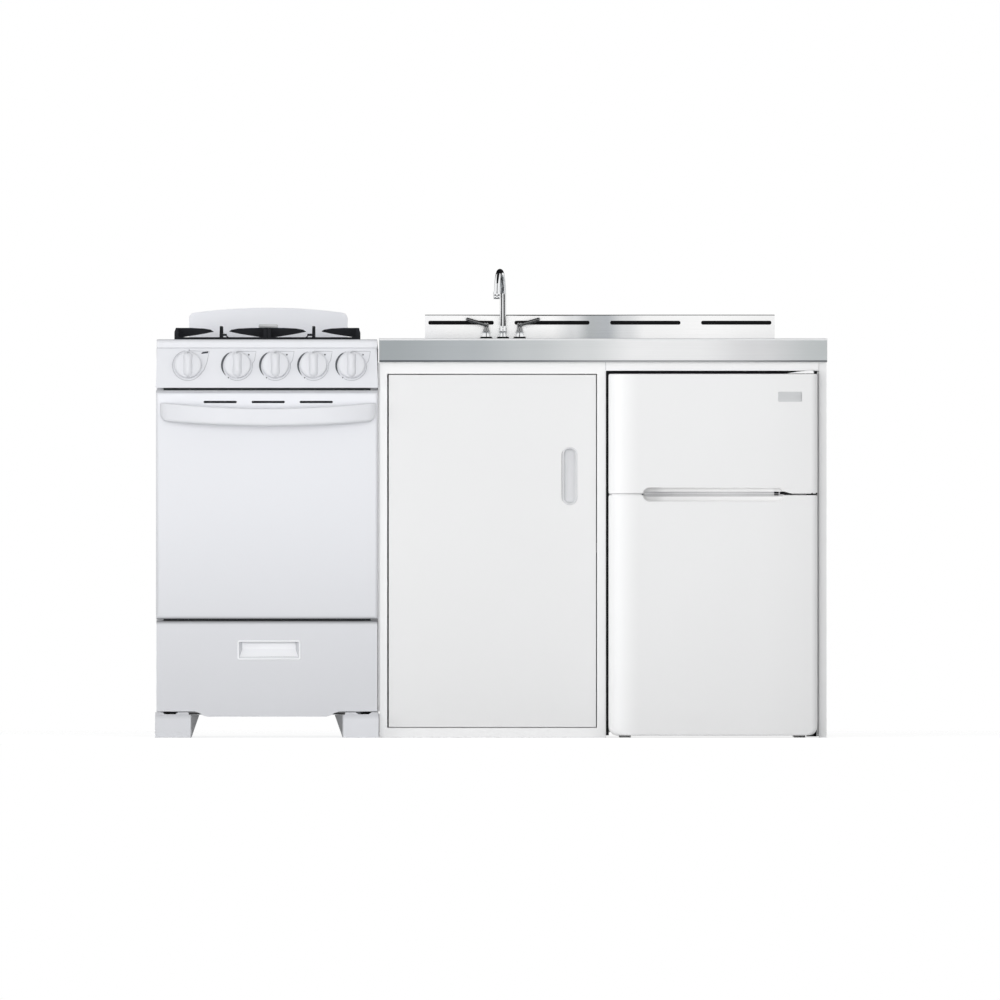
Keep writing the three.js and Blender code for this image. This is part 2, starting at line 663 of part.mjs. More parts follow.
// The bar handle: bowed forward, its middle lower than its ends.
function doorHandle() {
  const half = HANDLE_W / 2;
  const reach = OVEN_DOOR_Y - FIT - (FACE_Y - HANDLE_REACH);
  const round = 6;
  const rings = [];
  for (let i = 0; i <= HANDLE_STEPS; i += 1) {
    const t = -1 + 2 * i / HANDLE_STEPS;
    const bow = 1 - t ** 4;
    const end = Math.max(0, (Math.abs(t) - 0.94) / 0.06);
    const h = HANDLE_H * (1 - 0.35 * end ** 2) / 2;
    const z = OVEN_DOOR_TOP - HANDLE_DOWN - HANDLE_DROP * (1 - t ** 2);
    const front = OVEN_DOOR_Y - FIT - HANDLE_T * (1 - 0.5 * end ** 2) - (reach - HANDLE_T) * bow;
    const back = OVEN_DOOR_Y - FIT - (reach - HANDLE_T) * bow;
    const x = t * half;
    rings.push([
      [x, back, z - h + round / 2], [x, back, z + h - round / 2], [x, back - round / 2, z + h],
      [x, front + round, z + h], [x, front + round / 3, z + h - round / 2], [x, front, z + h - round],
      [x, front, z - h + round], [x, front + round / 3, z - h + round / 2], [x, front + round, z - h],
      [x, back - round / 2, z - h],
    ]);
  }
  return loft(rings);
}
piece(range, 'oven_door_handle', doorHandle(), 'white_plastic');

// ---------------------------------------------------------------- drawer

const DRAWER_BACK_Y = OVEN_DOOR_Y + DRAWER_FRONT_T;

// The drawer front from the front: its middle hangs lower, with an S curve at each side.
function drawerOutline(inset) {
  const half = RANGE_BODY_W / 2 - inset;
  const lip = DRAWER_LIP_W / 2 - inset;
  const low = DRAWER_Z - DRAWER_LIP + inset;
  const z = DRAWER_Z + inset;
  const shape = new THREE.Shape();
  shape.moveTo(-half, z);
  shape.lineTo(-lip - DRAWER_CURVE_W, z);
  shape.bezierCurveTo(-lip - DRAWER_CURVE_W / 2, z, -lip - DRAWER_CURVE_W / 2, low, -lip, low);
  shape.lineTo(lip, low);
  shape.bezierCurveTo(lip + DRAWER_CURVE_W / 2, low, lip + DRAWER_CURVE_W / 2, z, lip + DRAWER_CURVE_W, z);
  shape.lineTo(half, z);
  shape.lineTo(half, DRAWER_TOP - inset);
  shape.lineTo(-half, DRAWER_TOP - inset);
  shape.closePath();
  return shape;
}

function drawerShell(inset) {
  const back = DRAWER_BACK_Y + (inset > 0 ? OVER : 0);
  const r = DOOR_ROUND - inset;
  const low = DRAWER_Z - DRAWER_LIP - OVER;
  const side = rounded(OVEN_DOOR_Y + inset, back, low, DRAWER_TOP - inset, [0, 0, 0, r]);
  return common(across(drawerOutline(inset), OVEN_DOOR_Y, back), along(side, -RANGE_W, RANGE_W));
}

// The finger scoop: deep under its upper edge, running out to nothing at its lower edge.
function scoop(grow) {
  const z1 = DRAWER_TOP - PULL_DOWN + grow;
  const z0 = DRAWER_TOP - PULL_DOWN - PULL_H - grow;
  const half = PULL_W / 2 + grow;
  const front = OVEN_DOOR_Y - (grow > 0 ? 0 : OVER);
  const side = polygon([[front, z0], [OVEN_DOOR_Y, z0], [OVEN_DOOR_Y + PULL_T + grow, z1 - PULL_H * 0.45],
    [OVEN_DOOR_Y + PULL_T + grow, z1], [front, z1]]);
  const taper = polygon([[-half, front], [half, front], [half, OVEN_DOOR_Y],
    [half - PULL_T / 2, OVEN_DOOR_Y + PULL_T + grow], [-half + PULL_T / 2, OVEN_DOOR_Y + PULL_T + grow],
    [-half, OVEN_DOOR_Y]]);
  return common(along(side, -half, half), upright(taper, z0, z1));
}
piece(range, 'drawer_front',
  cut(join(cut(drawerShell(0), drawerShell(SHEET)), scoop(SHEET)), scoop(0)), 'white');

const TRAY_Z = BASE_TOP + RUNNER_H + FIT;
function drawerTray() {
  const y0 = DRAWER_BACK_Y + FIT;
  const outer = box(-TRAY_W / 2, TRAY_W / 2, y0, y0 + TRAY_D, TRAY_Z, TRAY_Z + TRAY_H);
  const inner = box(-TRAY_W / 2 + SHEET, TRAY_W / 2 - SHEET, y0 + SHEET, y0 + TRAY_D - SHEET,
    TRAY_Z + SHEET, TRAY_Z + TRAY_H + OVER);
  return cut(outer, inner);
}
piece(range, 'drawer_tray', drawerTray(), 'zinc');

// ---------------------------------------------------------------- controls

const PANEL_FACE_TOP_Y = PANEL_Y + PANEL_SLANT;
const PANEL_LEAN = Math.atan2(PANEL_SLANT, PANEL_H);
const KNOB_Y = PANEL_Y + (KNOB_Z - PANEL_Z) * Math.tan(PANEL_LEAN);
const CONTROLS = [
  ['oven', OVEN_KNOB_X],
  ...['front_left', 'rear_left', 'rear_right', 'front_right'].map(
    (name, i) => [name, BURNER_KNOB_X + i * BURNER_KNOB_PITCH]),
];

// A group whose Z axis points straight out of the panel at one control.
function controlSeat(x) {
  const seat = new THREE.Group();
  seat.position.set(x, KNOB_Y, KNOB_Z);
  seat.rotation.x = Math.PI / 2 - PANEL_LEAN;
  seat.updateMatrix();
  return seat;
}

function panelShell(inset) {
  const top = PANEL_TOP - FIT - inset;
  const lean = Math.tan(PANEL_LEAN);
  const back = FRAME_Y - FIT + (inset > 0 ? OVER : 0);
  const low = PANEL_Z + inset;
  const faceY = (z) => PANEL_Y + inset + (z - PANEL_Z) * lean;
  const side = polygon([[faceY(low), low], [back, low], [back, top], [faceY(top), top]]);
  const wide = RANGE_BODY_W / 2 + PANEL_TAPER / 2 - inset;
  const narrow = wide - PANEL_TAPER;
  const front = polygon([[-wide, PANEL_Z], [wide, PANEL_Z], [narrow, PANEL_TOP], [-narrow, PANEL_TOP]]);
  return common(along(side, -RANGE_W, RANGE_W), across(front, PANEL_Y - OVER, back));
}

function controlPanel() {
  const holes = CONTROLS.map(([, x]) => rod(STEM_HOLE_R, -STEM_IN / 2, OVER, 12)
    .applyMatrix4(controlSeat(x).matrix));
  return cut(panelShell(0), panelShell(PANEL_WALL), ...holes);
}
piece(range, 'control_panel', controlPanel(), 'white');

// The gas pipe runs between the side panels and carries one valve body for each knob.
function gasManifold() {
  const pipeY = FRAME_Y + MANIFOLD_BEHIND_FRAME;
  const reach = (pipeY - KNOB_Y) / Math.cos(PANEL_LEAN);
  const pipeZ = KNOB_Z - reach * Math.sin(PANEL_LEAN);
  const pipe = rodX(MANIFOLD_R, -INNER_HALF, INNER_HALF, pipeY, pipeZ, 10);
  const bodies = CONTROLS.map(([, x]) => rod(VALVE_R, -reach, -VALVE_SETBACK, 10)
    .applyMatrix4(controlSeat(x).matrix));
  const bores = CONTROLS.map(([, x]) => rod(STEM_R + FIT, -STEM_IN - KNOB_PUSH - 1, OVER, 10)
    .applyMatrix4(controlSeat(x).matrix));
  return cut(join(pipe, ...bodies), ...bores);
}
piece(range, 'gas_manifold', gasManifold(), 'brass');

function knob() {
  const z0 = KNOB_STANDOFF;
  const z1 = KNOB_STANDOFF + KNOB_DEPTH;
  const skirtZ = z0 + KNOB_DEPTH * 0.4;
  const body = turned([[0, z0], [KNOB_R, z0], [KNOB_R, skirtZ - 3], [KNOB_R - 2, skirtZ],
    [KNOB_R - 9, skirtZ + 2.4], [0, skirtZ + 3.2]], 20);
  const gripW = 13;
  const grip = along(rounded(-KNOB_R + 1.5, KNOB_R - 1.5, skirtZ - 1, z1, [0, 0, 9, 9]), -gripW / 2, gripW / 2);
  const bore = rod(STEM_R + FIT, z0 - OVER, STEM_OUT + FIT, 10);
  return cut(join(body, grip), bore);
}

for (const [name, x] of CONTROLS) {
  const seat = controlSeat(x);
  range.add(seat);
  piece(seat, `valve_stem_${name}`, rod(STEM_R, -STEM_IN, STEM_OUT, 10), 'brass');
  piece(seat, `knob_${name}`, knob(), 'white_plastic');
}

// ---------------------------------------------------------------- cooktop

const COOKTOP_Y = PANEL_FACE_TOP_Y - COOKTOP_SETBACK;
const WELL_Y0 = COOKTOP_Y + COOKTOP_RIM;
const WELL_Y1 = BACK_Y - REAR_DECK;
const WELL_Y = (WELL_Y0 + WELL_Y1) / 2;
const WELL_Z = COOKTOP_Z - WELL_DEPTH;
const WELL_HALF = COOKTOP_W / 2 - COOKTOP_RIM;
const BURNERS = [
  ['front_left', -BURNER_X, -BURNER_Y], ['rear_left', -BURNER_X, BURNER_Y],
  ['rear_right', BURNER_X, BURNER_Y], ['front_right', BURNER_X, -BURNER_Y],
];

function cooktop() {
  const shell = (inset) => {
    const r = COOKTOP_ROUND - inset;
    const z0 = PANEL_TOP - (inset > 0 ? OVER : 0);
    const outline = rounded(COOKTOP_Y + inset, BACK_Y - inset, z0, COOKTOP_Z - inset, [0, 0, 0, r]);
    return along(outline, -COOKTOP_W / 2 + inset, COOKTOP_W / 2 - inset);
  };
  const well = (inset) => upright(rounded(-WELL_HALF - inset, WELL_HALF + inset, WELL_Y0 - inset,
    WELL_Y1 + inset, WELL_CORNER + inset), WELL_Z - inset, COOKTOP_Z + (inset > 0 ? -inset / 2 : OVER));
  const holes = BURNERS.map(([, x, y]) => rod(BURNER_TUBE_R + 1.5, WELL_Z - OVER, COOKTOP_Z, 16)
    .translate(x, WELL_Y + y, 0));
  return cut(join(cut(shell(0), shell(SHEET)), well(SHEET)), well(0), ...holes);
}
piece(range, 'cooktop', cooktop(), 'white');

function surfaceBurner() {
  const r = BURNER_R;
  return turned([[0, -BURNER_TUBE_L], [BURNER_TUBE_R, -BURNER_TUBE_L], [BURNER_TUBE_R, FIT], [r, FIT],
    [r, 3], [r - 8, 5], [r - 8, BURNER_H - 6], [r - 4, BURNER_H - 5], [r - 5, BURNER_H], [0, BURNER_H]], 18);
}
for (const [name, x, y] of BURNERS) {
  const mesh = piece(range, `burner_${name}`, surfaceBurner(), 'enamel_black');
  mesh.position.set(x, WELL_Y + y, WELL_Z);
}

// A grate over a front and a rear burner. Its inner edge lies at the seam, x = 0.
function grate(side) {
  const near = GRATE_SEAM / 2;
  const far = near + GRATE_W;
  const top = GRATE_TOP;
  const burner = BURNER_X;
  const y0 = WELL_Y - GRATE_D / 2;
  const y1 = WELL_Y + GRATE_D / 2;
  const low = FIT;
  const outline = (points) => polygon(points.map(([x, z]) => [side * x, COOKTOP_Z + z]));
  const barX = (x0, x1, y, z0, z1) => across(outline([[x0, z0], [x1, z0], [x1, z1], [x0, z1]]),
    y - GRATE_BAR / 2, y + GRATE_BAR / 2);
  const parts = [];
  // tall rails along the sides, the outer one with a rounded shoulder
  parts.push(across(outline([[far, low], [far, top - 10], [far - 2, top - 4], [far - 6, top - 0.5],
    [far - GRATE_BAR - 1, top], [far - GRATE_BAR - 1, low]]), y0, y1));
  const nearIn = near + GRATE_BAR;
  parts.push(across(outline([[near, low], [nearIn, low], [nearIn, top], [near, top]]), y0, y1));
  // low rails across
  for (const y of [y0 + GRATE_BAR / 2, WELL_Y, y1 - GRATE_BAR / 2]) {
    parts.push(barX(near + 1, far - 1, y, low, low + GRATE_RAIL_H));
  }
  // fingers: two from the side rails, one from the front and one from the back of each burner
  for (const row of [-1, 1]) {
    const y = WELL_Y + row * BURNER_Y;
    const arm = (root, tip) => {
      const at = (share) => root + (tip - root) * share;
      return across(outline([[root, 4], [at(0.5), 11], [at(0.72), 14], [tip, top - FINGER_TIP_H],
        [at(0.93), top - 4], [at(0.75), top - 1.5], [at(0.4), top], [root, top]]),
      y - GRATE_BAR / 2, y + GRATE_BAR / 2);
    };
    parts.push(arm(far - 2, burner + FINGER_GAP), arm(near + 2, burner - FINGER_GAP));
    for (const way of [-1, 1]) {
      const rail = way * row > 0 ? (row > 0 ? y1 : y0) - row * GRATE_BAR / 2 : WELL_Y;
      const reach = rail + (y - rail) * 0.72;
      const [a, b] = [side * (burner - 3), side * (burner + 3)].sort((p, q) => p - q);
      parts.push(along(polygon([[rail, COOKTOP_Z + low], [reach, COOKTOP_Z + top - 9],
        [reach, COOKTOP_Z + top + GRATE_PEAK], [rail, COOKTOP_Z + low + GRATE_RAIL_H + 6]]), a, b));
    }
  }
  // a slanting brace beside the front finger
  const brace = burner - 10;
  parts.push(across(outline([[brace, 12], [brace + 4, 14], [brace - 6, low + 2], [brace - 12, low + 2]]),
    y0, y0 + GRATE_BAR));
  parts.push(barX(brace - 4, burner + 3, y0 + GRATE_BAR / 2, 8, 13));
  // feet down to the floor of the well
  for (const x of [near + GRATE_BAR, far - GRATE_BAR - 2]) {
    for (const y of [y0 + 1, y1 - 9]) {
      parts.push(across(outline([[x - 3, FIT - WELL_DEPTH], [x + 3, FIT - WELL_DEPTH],
        [x + 3, low + 2], [x - 3, low + 2]]), y, y + GRATE_BAR));
    }
  }
  return join(...parts);
}
for (const [name, side] of SIDES) piece(range, `grate_${name}`, grate(side), 'cast_iron');

function backguard() {
  const y1 = BACK_Y - GUARD_SETBACK;
  const y0 = y1 - GUARD_T;
  const z0 = COOKTOP_Z + FIT;
  const outline = (inset) => {
    const half = GUARD_W / 2 - inset;
    const shoulder = COOKTOP_Z + GUARD_H - GUARD_CROWN - inset;
    const r = GUARD_ROUND - inset;
    const foot = inset > 0 ? z0 - OVER : z0;
    const shape = new THREE.Shape();
    shape.moveTo(-half, foot);
    shape.lineTo(half, foot);
    shape.lineTo(half, shoulder - r);
    shape.absarc(half - r, shoulder - r, r, 0, Math.PI / 2, false);
    const crownSteps = 12;
    const start = half - r;
    for (let i = 1; i <= crownSteps; i += 1) {
      const x = start * (1 - 2 * i / crownSteps);
      shape.lineTo(x, shoulder + GUARD_CROWN * (1 - (x / start) ** 2));
    }
    shape.absarc(-half + r, shoulder - r, r, Math.PI / 2, Math.PI, false);
    return shape;
  };
  return cut(across(outline(0), y0, y1), across(outline(SHEET), y0 + SHEET, y1 + OVER));
}
piece(range, 'backguard', backguard(), 'white');

// ---------------------------------------------------------------- sink cabinet

const CAB_L = COUNTER_L + SHEET + FIT;
const CAB_R = COUNTER_R - SHEET - FIT;
const APRON_Z = COUNTER_Z - APRON_H;
const CAB_TOP = COUNTER_Z - SHEET - FIT;
const DOOR_X0 = CAB_L + STILE_L;
const DOOR_X1 = DOOR_X0 + SINK_BAY_W;
const BAY_X0 = DOOR_X1 + STILE_MID;
const BAY_X1 = BAY_X0 + BAY_W;
const INSIDE_FACE_Y = FACE_Y + FRAME_T + FIT;

// The welded face frame: stiles and rails in one, from the floor to under the top.
function faceFrame() {
  const outline = polygon([[CAB_L, 0], [BAY_X0, 0], [BAY_X0, APRON_Z - RAIL_FRIDGE_TOP],
    [BAY_X1 - FIT, APRON_Z - RAIL_FRIDGE_TOP], [BAY_X1 - FIT, CAB_TOP], [CAB_L, CAB_TOP]]);
  const opening = box(DOOR_X0, DOOR_X1, FACE_Y - OVER, FACE_Y + FRAME_T + OVER,
    RAIL_BOTTOM, APRON_Z - RAIL_DOOR_TOP);
  return cut(across(outline, FACE_Y, FACE_Y + FRAME_T), opening);
}
piece(unit, 'cabinet_face_frame', faceFrame(), 'white_cabinet');

piece(unit, 'cabinet_side_left',
  upright(foldedSide(CAB_L, 1, INSIDE_FACE_Y, BACK_Y - SHEET - FIT, FLANGE), 0, CAB_TOP), 'white_cabinet');
piece(unit, 'cabinet_side_right',
  upright(foldedSide(CAB_R, -1, FACE_Y, BACK_Y - SHEET - FIT, STILE_R), 0, CAB_TOP), 'white_cabinet');
const PARTITION_X = DOOR_X1 + STILE_MID / 2;
piece(unit, 'cabinet_partition',
  upright(foldedSide(PARTITION_X, 1, INSIDE_FACE_Y, BACK_Y - SHEET - FIT, STILE_MID / 2), 0, CAB_TOP),
  'white_cabinet');

// The back closes the sink bay and leaves the refrigerator bay open below a top strip.
function cabinetBack() {
  const outline = polygon([[CAB_L, 0], [PARTITION_X, 0], [PARTITION_X, CAB_TOP - BACK_RAIL_H],
    [CAB_R, CAB_TOP - BACK_RAIL_H], [CAB_R, CAB_TOP], [CAB_L, CAB_TOP]]);
  return across(outline, BACK_Y - SHEET, BACK_Y);
}
piece(unit, 'cabinet_back', cabinetBack(), 'zinc');

piece(unit, 'cabinet_floor', box(CAB_L + SHEET + FIT, PARTITION_X - FIT,
  INSIDE_FACE_Y + SHEET + FIT, BACK_Y - 2 * (SHEET + FIT), RAIL_BOTTOM, RAIL_BOTTOM + SHEET), 'white_cabinet');

// ---------------------------------------------------------------- top and sink

const SINK_X = COUNTER_L + SINK_X_OFF;
const BOWL_Y0 = FACE_Y + BOWL_FROM_FRONT;
const BOWL_Y = BOWL_Y0 + BOWL_D / 2;
const FAUCET_Y = BOWL_Y0 + BOWL_D + FAUCET_BEHIND_BOWL;
const bowlOutline = (grow) => rounded(SINK_X - BOWL_W / 2 - grow, SINK_X + BOWL_W / 2 + grow,
  BOWL_Y0 - grow, BOWL_Y0 + BOWL_D + grow, BOWL_R + grow);

function countertop() {
  const shell = (inset) => {
    const r = APRON_ROUND - inset;
    const z0 = APRON_Z - (inset > 0 ? OVER : 0);
    const outline = rounded(FACE_Y - APRON_PROUD + inset, BACK_Y, z0, COUNTER_Z - inset, [0, 0, 0, r]);
    return along(outline, COUNTER_L + inset, COUNTER_R - inset);
  };
  const open = box(COUNTER_L + SHEET, COUNTER_R - SHEET, BACK_Y - OVER, BACK_Y + OVER,
    APRON_Z - OVER, COUNTER_Z - SHEET);
  const holes = [-1, 0, 1].map((i) => rod(DECK_HOLE_R, COUNTER_Z - 2 * OVER, COUNTER_Z + OVER, 12)
    .translate(SINK_X + i * VALVE_SPACING, FAUCET_Y, 0));
  const sinkHole = upright(bowlOutline(0), COUNTER_Z - OVER, COUNTER_Z + OVER);
  return cut(shell(0), shell(SHEET), open, sinkHole, ...holes);
}
piece(unit, 'countertop', countertop(), 'stainless');

function backsplash() {
  const x0 = COUNTER_L + BACKSPLASH_OFF;
  const z0 = COUNTER_Z + FIT;
  const y0 = BACK_Y - BACKSPLASH_T;
  const shell = (inset) => box(x0 + inset, x0 + BACKSPLASH_W - inset, y0 + inset,
    BACK_Y + (inset > 0 ? OVER : 0), z0 - (inset > 0 ? OVER : 0), COUNTER_Z + BACKSPLASH_H - inset);
  const slots = [];
  for (let i = 0; i < SLOT_COUNT; i += 1) {
    const x = x0 + SLOT_FIRST + i * SLOT_PITCH;
    slots.push(slot(x, COUNTER_Z + SLOT_UP, SLOT_W, SLOT_H, y0 - OVER, y0 + SHEET + OVER));
  }
  return cut(shell(0), shell(SHEET), ...slots);
}
piece(unit, 'backsplash', backsplash(), 'stainless');

const BOWL_TOP = COUNTER_Z - SHEET - FIT;
const BOWL_FLOOR = BOWL_TOP - BOWL_H;
function sinkBowl() {
  const dish = (grow, top) => {
    const bend = BOWL_BEND + grow;
    const outline = rounded(SINK_X - BOWL_W / 2 - grow + bend, SINK_X + BOWL_W / 2 + grow - bend,
      BOWL_Y0 - grow + bend, BOWL_Y0 + BOWL_D + grow - bend, BOWL_R + grow - bend);
    const geometry = new THREE.ExtrudeGeometry(outline, {
      depth: top - BOWL_FLOOR + grow, curveSegments: ARC_STEPS,
      bevelEnabled: true, bevelThickness: bend, bevelSize: bend, bevelSegments: 2,
    });
    return geometry.translate(0, 0, BOWL_FLOOR - grow + bend);
  };
  const keep = box(SINK_X - BOWL_W, SINK_X + BOWL_W, BOWL_Y0 - BOWL_D, BOWL_Y0 + 2 * BOWL_D,
    BOWL_FLOOR - 2 * OVER, BOWL_TOP);
  const lip = upright(bowlOutline(BOWL_LIP), BOWL_TOP - SHEET, BOWL_TOP);
  const body = join(common(dish(SHEET, BOWL_TOP), keep), lip);
  const hole = rod(DRAIN_R + 1, BOWL_FLOOR - 2 * OVER, BOWL_FLOOR + OVER, 20).translate(SINK_X, BOWL_Y, 0);
  return cut(body, dish(0, BOWL_TOP), hole);
}
piece(unit, 'sink_bowl', sinkBowl(), 'stainless');

// Drain: a flange in the bowl, a cup below it, the tailpiece and the trap to the back.
function sinkDrain() {
  const top = BOWL_FLOOR + FIT;
  const cupZ = top - DRAIN_H;
  const cup = turned([[TAIL_R - 3, cupZ - 14], [TAIL_R, cupZ - 14], [TAIL_R, cupZ], [DRAIN_R, cupZ + 6],
    [DRAIN_R, top], [DRAIN_FLANGE_R, top], [DRAIN_FLANGE_R - 3, top + DRAIN_RIM],
    [DRAIN_R - DRAIN_WALL, top + DRAIN_RIM],
    [DRAIN_R - DRAIN_WALL, cupZ + 8], [TAIL_R - 3, cupZ + 3], [TAIL_R - 3, cupZ - 14]], 16);
  const z1 = cupZ - 12;
  const z0 = z1 - TAIL_L;
  const arc = (y, z, from, to) => {
    const steps = 5;
    const points = [];
    for (let i = 0; i <= steps; i += 1) {
      const a = from + (to - from) * i / steps;
      points.push(new THREE.Vector3(0, y + TRAP_R * Math.cos(a), z + TRAP_R * Math.sin(a)));
    }
    return points;
  };
  const route = [
    new THREE.Vector3(0, 0, z1),
    ...arc(TRAP_R, z0, Math.PI, 2 * Math.PI),
    ...arc(3 * TRAP_R, z0, Math.PI, Math.PI / 2),
    new THREE.Vector3(0, BACK_Y - BOWL_Y - SHEET - FIT, z0 + TRAP_R),
  ];
  const path = new THREE.CurvePath();
  for (let i = 0; i + 1 < route.length; i += 1) {
    if (route[i].distanceTo(route[i + 1]) > 0.1) path.add(new THREE.LineCurve3(route[i], route[i + 1]));
  }
  const nuts = [rod(TAIL_R + 6, z0 + TRAP_R - 12, z0 + TRAP_R + 6, 8)];
  const trap = join(tube(path, TAIL_R, 20, 8), ...nuts);
  const bore = rod(TAIL_R - 3, cupZ - 40, cupZ + 5, 12);
  return cut(join(cup, trap), bore);
}
const drain = piece(unit, 'sink_drain', sinkDrain(), 'chrome');
drain.position.set(SINK_X, BOWL_Y, 0);

function strainerBasket() {
  const z1 = BOWL_FLOOR + DRAIN_RIM + 2 * FIT;
  const z0 = z1 - BASKET_H;
  return turned([[0, z0], [BASKET_R - 8, z0], [BASKET_R, z1], [BASKET_R + 8, z1], [BASKET_R + 8, z1 + 1.2],
    [BASKET_R - 1, z1 + 1.2], [BASKET_R - 9, z0 + 1.2], [4, z0 + 1.2], [4, z1 + 2], [9, z1 + 5], [9, z1 + 9],
    [0, z1 + 10]], 14);
}
const basket = piece(unit, 'strainer_basket', strainerBasket(), 'stainless');
basket.position.set(SINK_X, BOWL_Y, 0);

// ---------------------------------------------------------------- faucet

const faucet = new THREE.Group();
faucet.position.set(SINK_X, FAUCET_Y, COUNTER_Z);
unit.add(faucet);

// Three bells on the deck, their shanks through it, and the yoke that joins them below.
function faucetBase() {
  const bell = (x) => turned([[0, -SHANK_L], [SHANK_R, -SHANK_L], [SHANK_R, FIT], [BELL_R, FIT], [BELL_R, 3],
    [BELL_R - 5, BELL_H - 6], [BELL_R - 5, BELL_H], [0, BELL_H]], 12).translate(x, 0, 0);
  const z1 = -SHEET - FIT - BOWL_LIP;
  const yoke = box(-VALVE_SPACING - 12, VALVE_SPACING + 12, -9, 9, z1 - YOKE_H, z1);
  return join(yoke, bell(-VALVE_SPACING), bell(0), bell(VALVE_SPACING));
}
piece(faucet, 'faucet_base', faucetBase(), 'chrome');

const spoutSeat = new THREE.Group();
spoutSeat.rotation.z = -THREE.MathUtils.degToRad(SPOUT_REST_TURN);
faucet.add(spoutSeat);

// The gooseneck: a riser, a half circle forward and a short drop to the outlet.
function faucetSpout() {
  const bend = SPOUT_REACH / 2;
  const bendZ = SPOUT_TOP - SPOUT_TUBE_R - bend;
  const foot = BELL_H + FIT;
  const steps = 16;
  const points = [new THREE.Vector3(0, 0, foot + 1), new THREE.Vector3(0, 0, (foot + bendZ) / 2)];
  for (let i = 0; i <= steps; i += 1) {
    const a = Math.PI * i / steps;
    points.push(new THREE.Vector3(0, -bend + bend * Math.cos(a), bendZ + bend * Math.sin(a)));
  }
  points.push(new THREE.Vector3(0, -SPOUT_REACH, OUTLET_UP + 2));
  const path = new THREE.CurvePath();
  for (let i = 0; i + 1 < points.length; i += 1) path.add(new THREE.LineCurve3(points[i], points[i + 1]));
  const collar = turned([[0, foot], [COLLAR_R, foot], [COLLAR_R, foot + COLLAR_H * 2 / 3],
    [SPOUT_TUBE_R + 0.6, foot + COLLAR_H], [0, foot + COLLAR_H]], 12);
  const outlet = rod(OUTLET_R, OUTLET_UP, OUTLET_UP + OUTLET_L, 12).translate(0, -SPOUT_REACH, 0);
  return join(tube(path, SPOUT_TUBE_R, 24, 8), collar, outlet);
}
piece(spoutSeat, 'faucet_spout', faucetSpout(), 'chrome');

// A lever: a hub on the valve, and a blade that rises outwards.
function lever(side) {
  const z0 = BELL_H + FIT;
  const hubTop = z0 + LEVER_HUB_H;
  const hub = turned([[0, z0], [LEVER_HUB_R, z0], [LEVER_HUB_R - 1, hubTop - 3],
    [LEVER_HUB_R - 3, hubTop], [0, hubTop]], 12);
  const ring = (r, z, width, thick) => [[side * r, -width / 2, z], [side * r, width / 2, z],
    [side * r, width / 2 - 1, z + thick], [side * r, -width / 2 + 1, z + thick]];
  const blade = loft([
    ring(0, hubTop - 8, LEVER_SWEEP_W, LEVER_T + 1),
    ring(LEVER_L * 0.35, hubTop - 3, LEVER_SWEEP_W - 1, LEVER_T),
    ring(LEVER_L * 0.7, hubTop + LEVER_RISE * 0.35, LEVER_SWEEP_W - 1, LEVER_T),
    ring(LEVER_L, hubTop + LEVER_RISE - 4, LEVER_SWEEP_W + 1, LEVER_T),
  ]);
  return join(hub, blade);
}
for (const [name, side] of SIDES) {
  const mesh = piece(faucet, `faucet_lever_${name}`, lever(side), 'chrome');
  mesh.position.x = side * VALVE_SPACING;
}

// ---------------------------------------------------------------- sink cabinet door

const SINK_DOOR_X0 = DOOR_X0 + SINK_DOOR_HINGE_GAP;
const SINK_DOOR_X1 = DOOR_X1 - SINK_DOOR_GAP;
const SINK_DOOR_Z0 = RAIL_BOTTOM + SINK_DOOR_GAP;
const SINK_DOOR_Z1 = APRON_Z - RAIL_DOOR_TOP - SINK_DOOR_GAP;
const GRIP_X = SINK_DOOR_X1 - GRIP_FROM_EDGE;
const GRIP_Z = SINK_DOOR_Z0 + GRIP_UP;
const gripOutline = (grow) => rounded(GRIP_X - GRIP_W / 2 - grow, GRIP_X + GRIP_W / 2 + grow,
  GRIP_Z - GRIP_H / 2 - grow, GRIP_Z + GRIP_H / 2 + grow, GRIP_W / 2 + grow - 0.1);

function sinkDoor() {
  const shell = (inset) => box(SINK_DOOR_X0 + inset, SINK_DOOR_X1 - inset, FACE_Y + inset,
    FACE_Y + SINK_DOOR_T + (inset > 0 ? OVER : 0), SINK_DOOR_Z0 + inset, SINK_DOOR_Z1 - inset);
  return cut(shell(0), shell(SHEET), across(gripOutline(-GRIP_RIM / 2), FACE_Y - OVER, FACE_Y + 2 * OVER));
}
piece(unit, 'sink_door', sinkDoor(), 'white_cabinet');

// The grip: a cup behind the hole, with a rim on the face of the door.
function sinkDoorGrip() {
  const rimFront = FACE_Y - FIT - 1.2;
  const cup = across(gripOutline(-GRIP_RIM / 2 - FIT), rimFront, FACE_Y + GRIP_T);
  const rim = across(gripOutline(0), rimFront, FACE_Y - FIT);
  const hollow = across(gripOutline(-GRIP_RIM / 2 - FIT - 1.5), rimFront - OVER, FACE_Y + GRIP_T - 1.5);
  return cut(join(cup, rim), hollow);
}
piece(unit, 'sink_door_grip', sinkDoorGrip(), 'white_plastic');

// ---------------------------------------------------------------- refrigerator

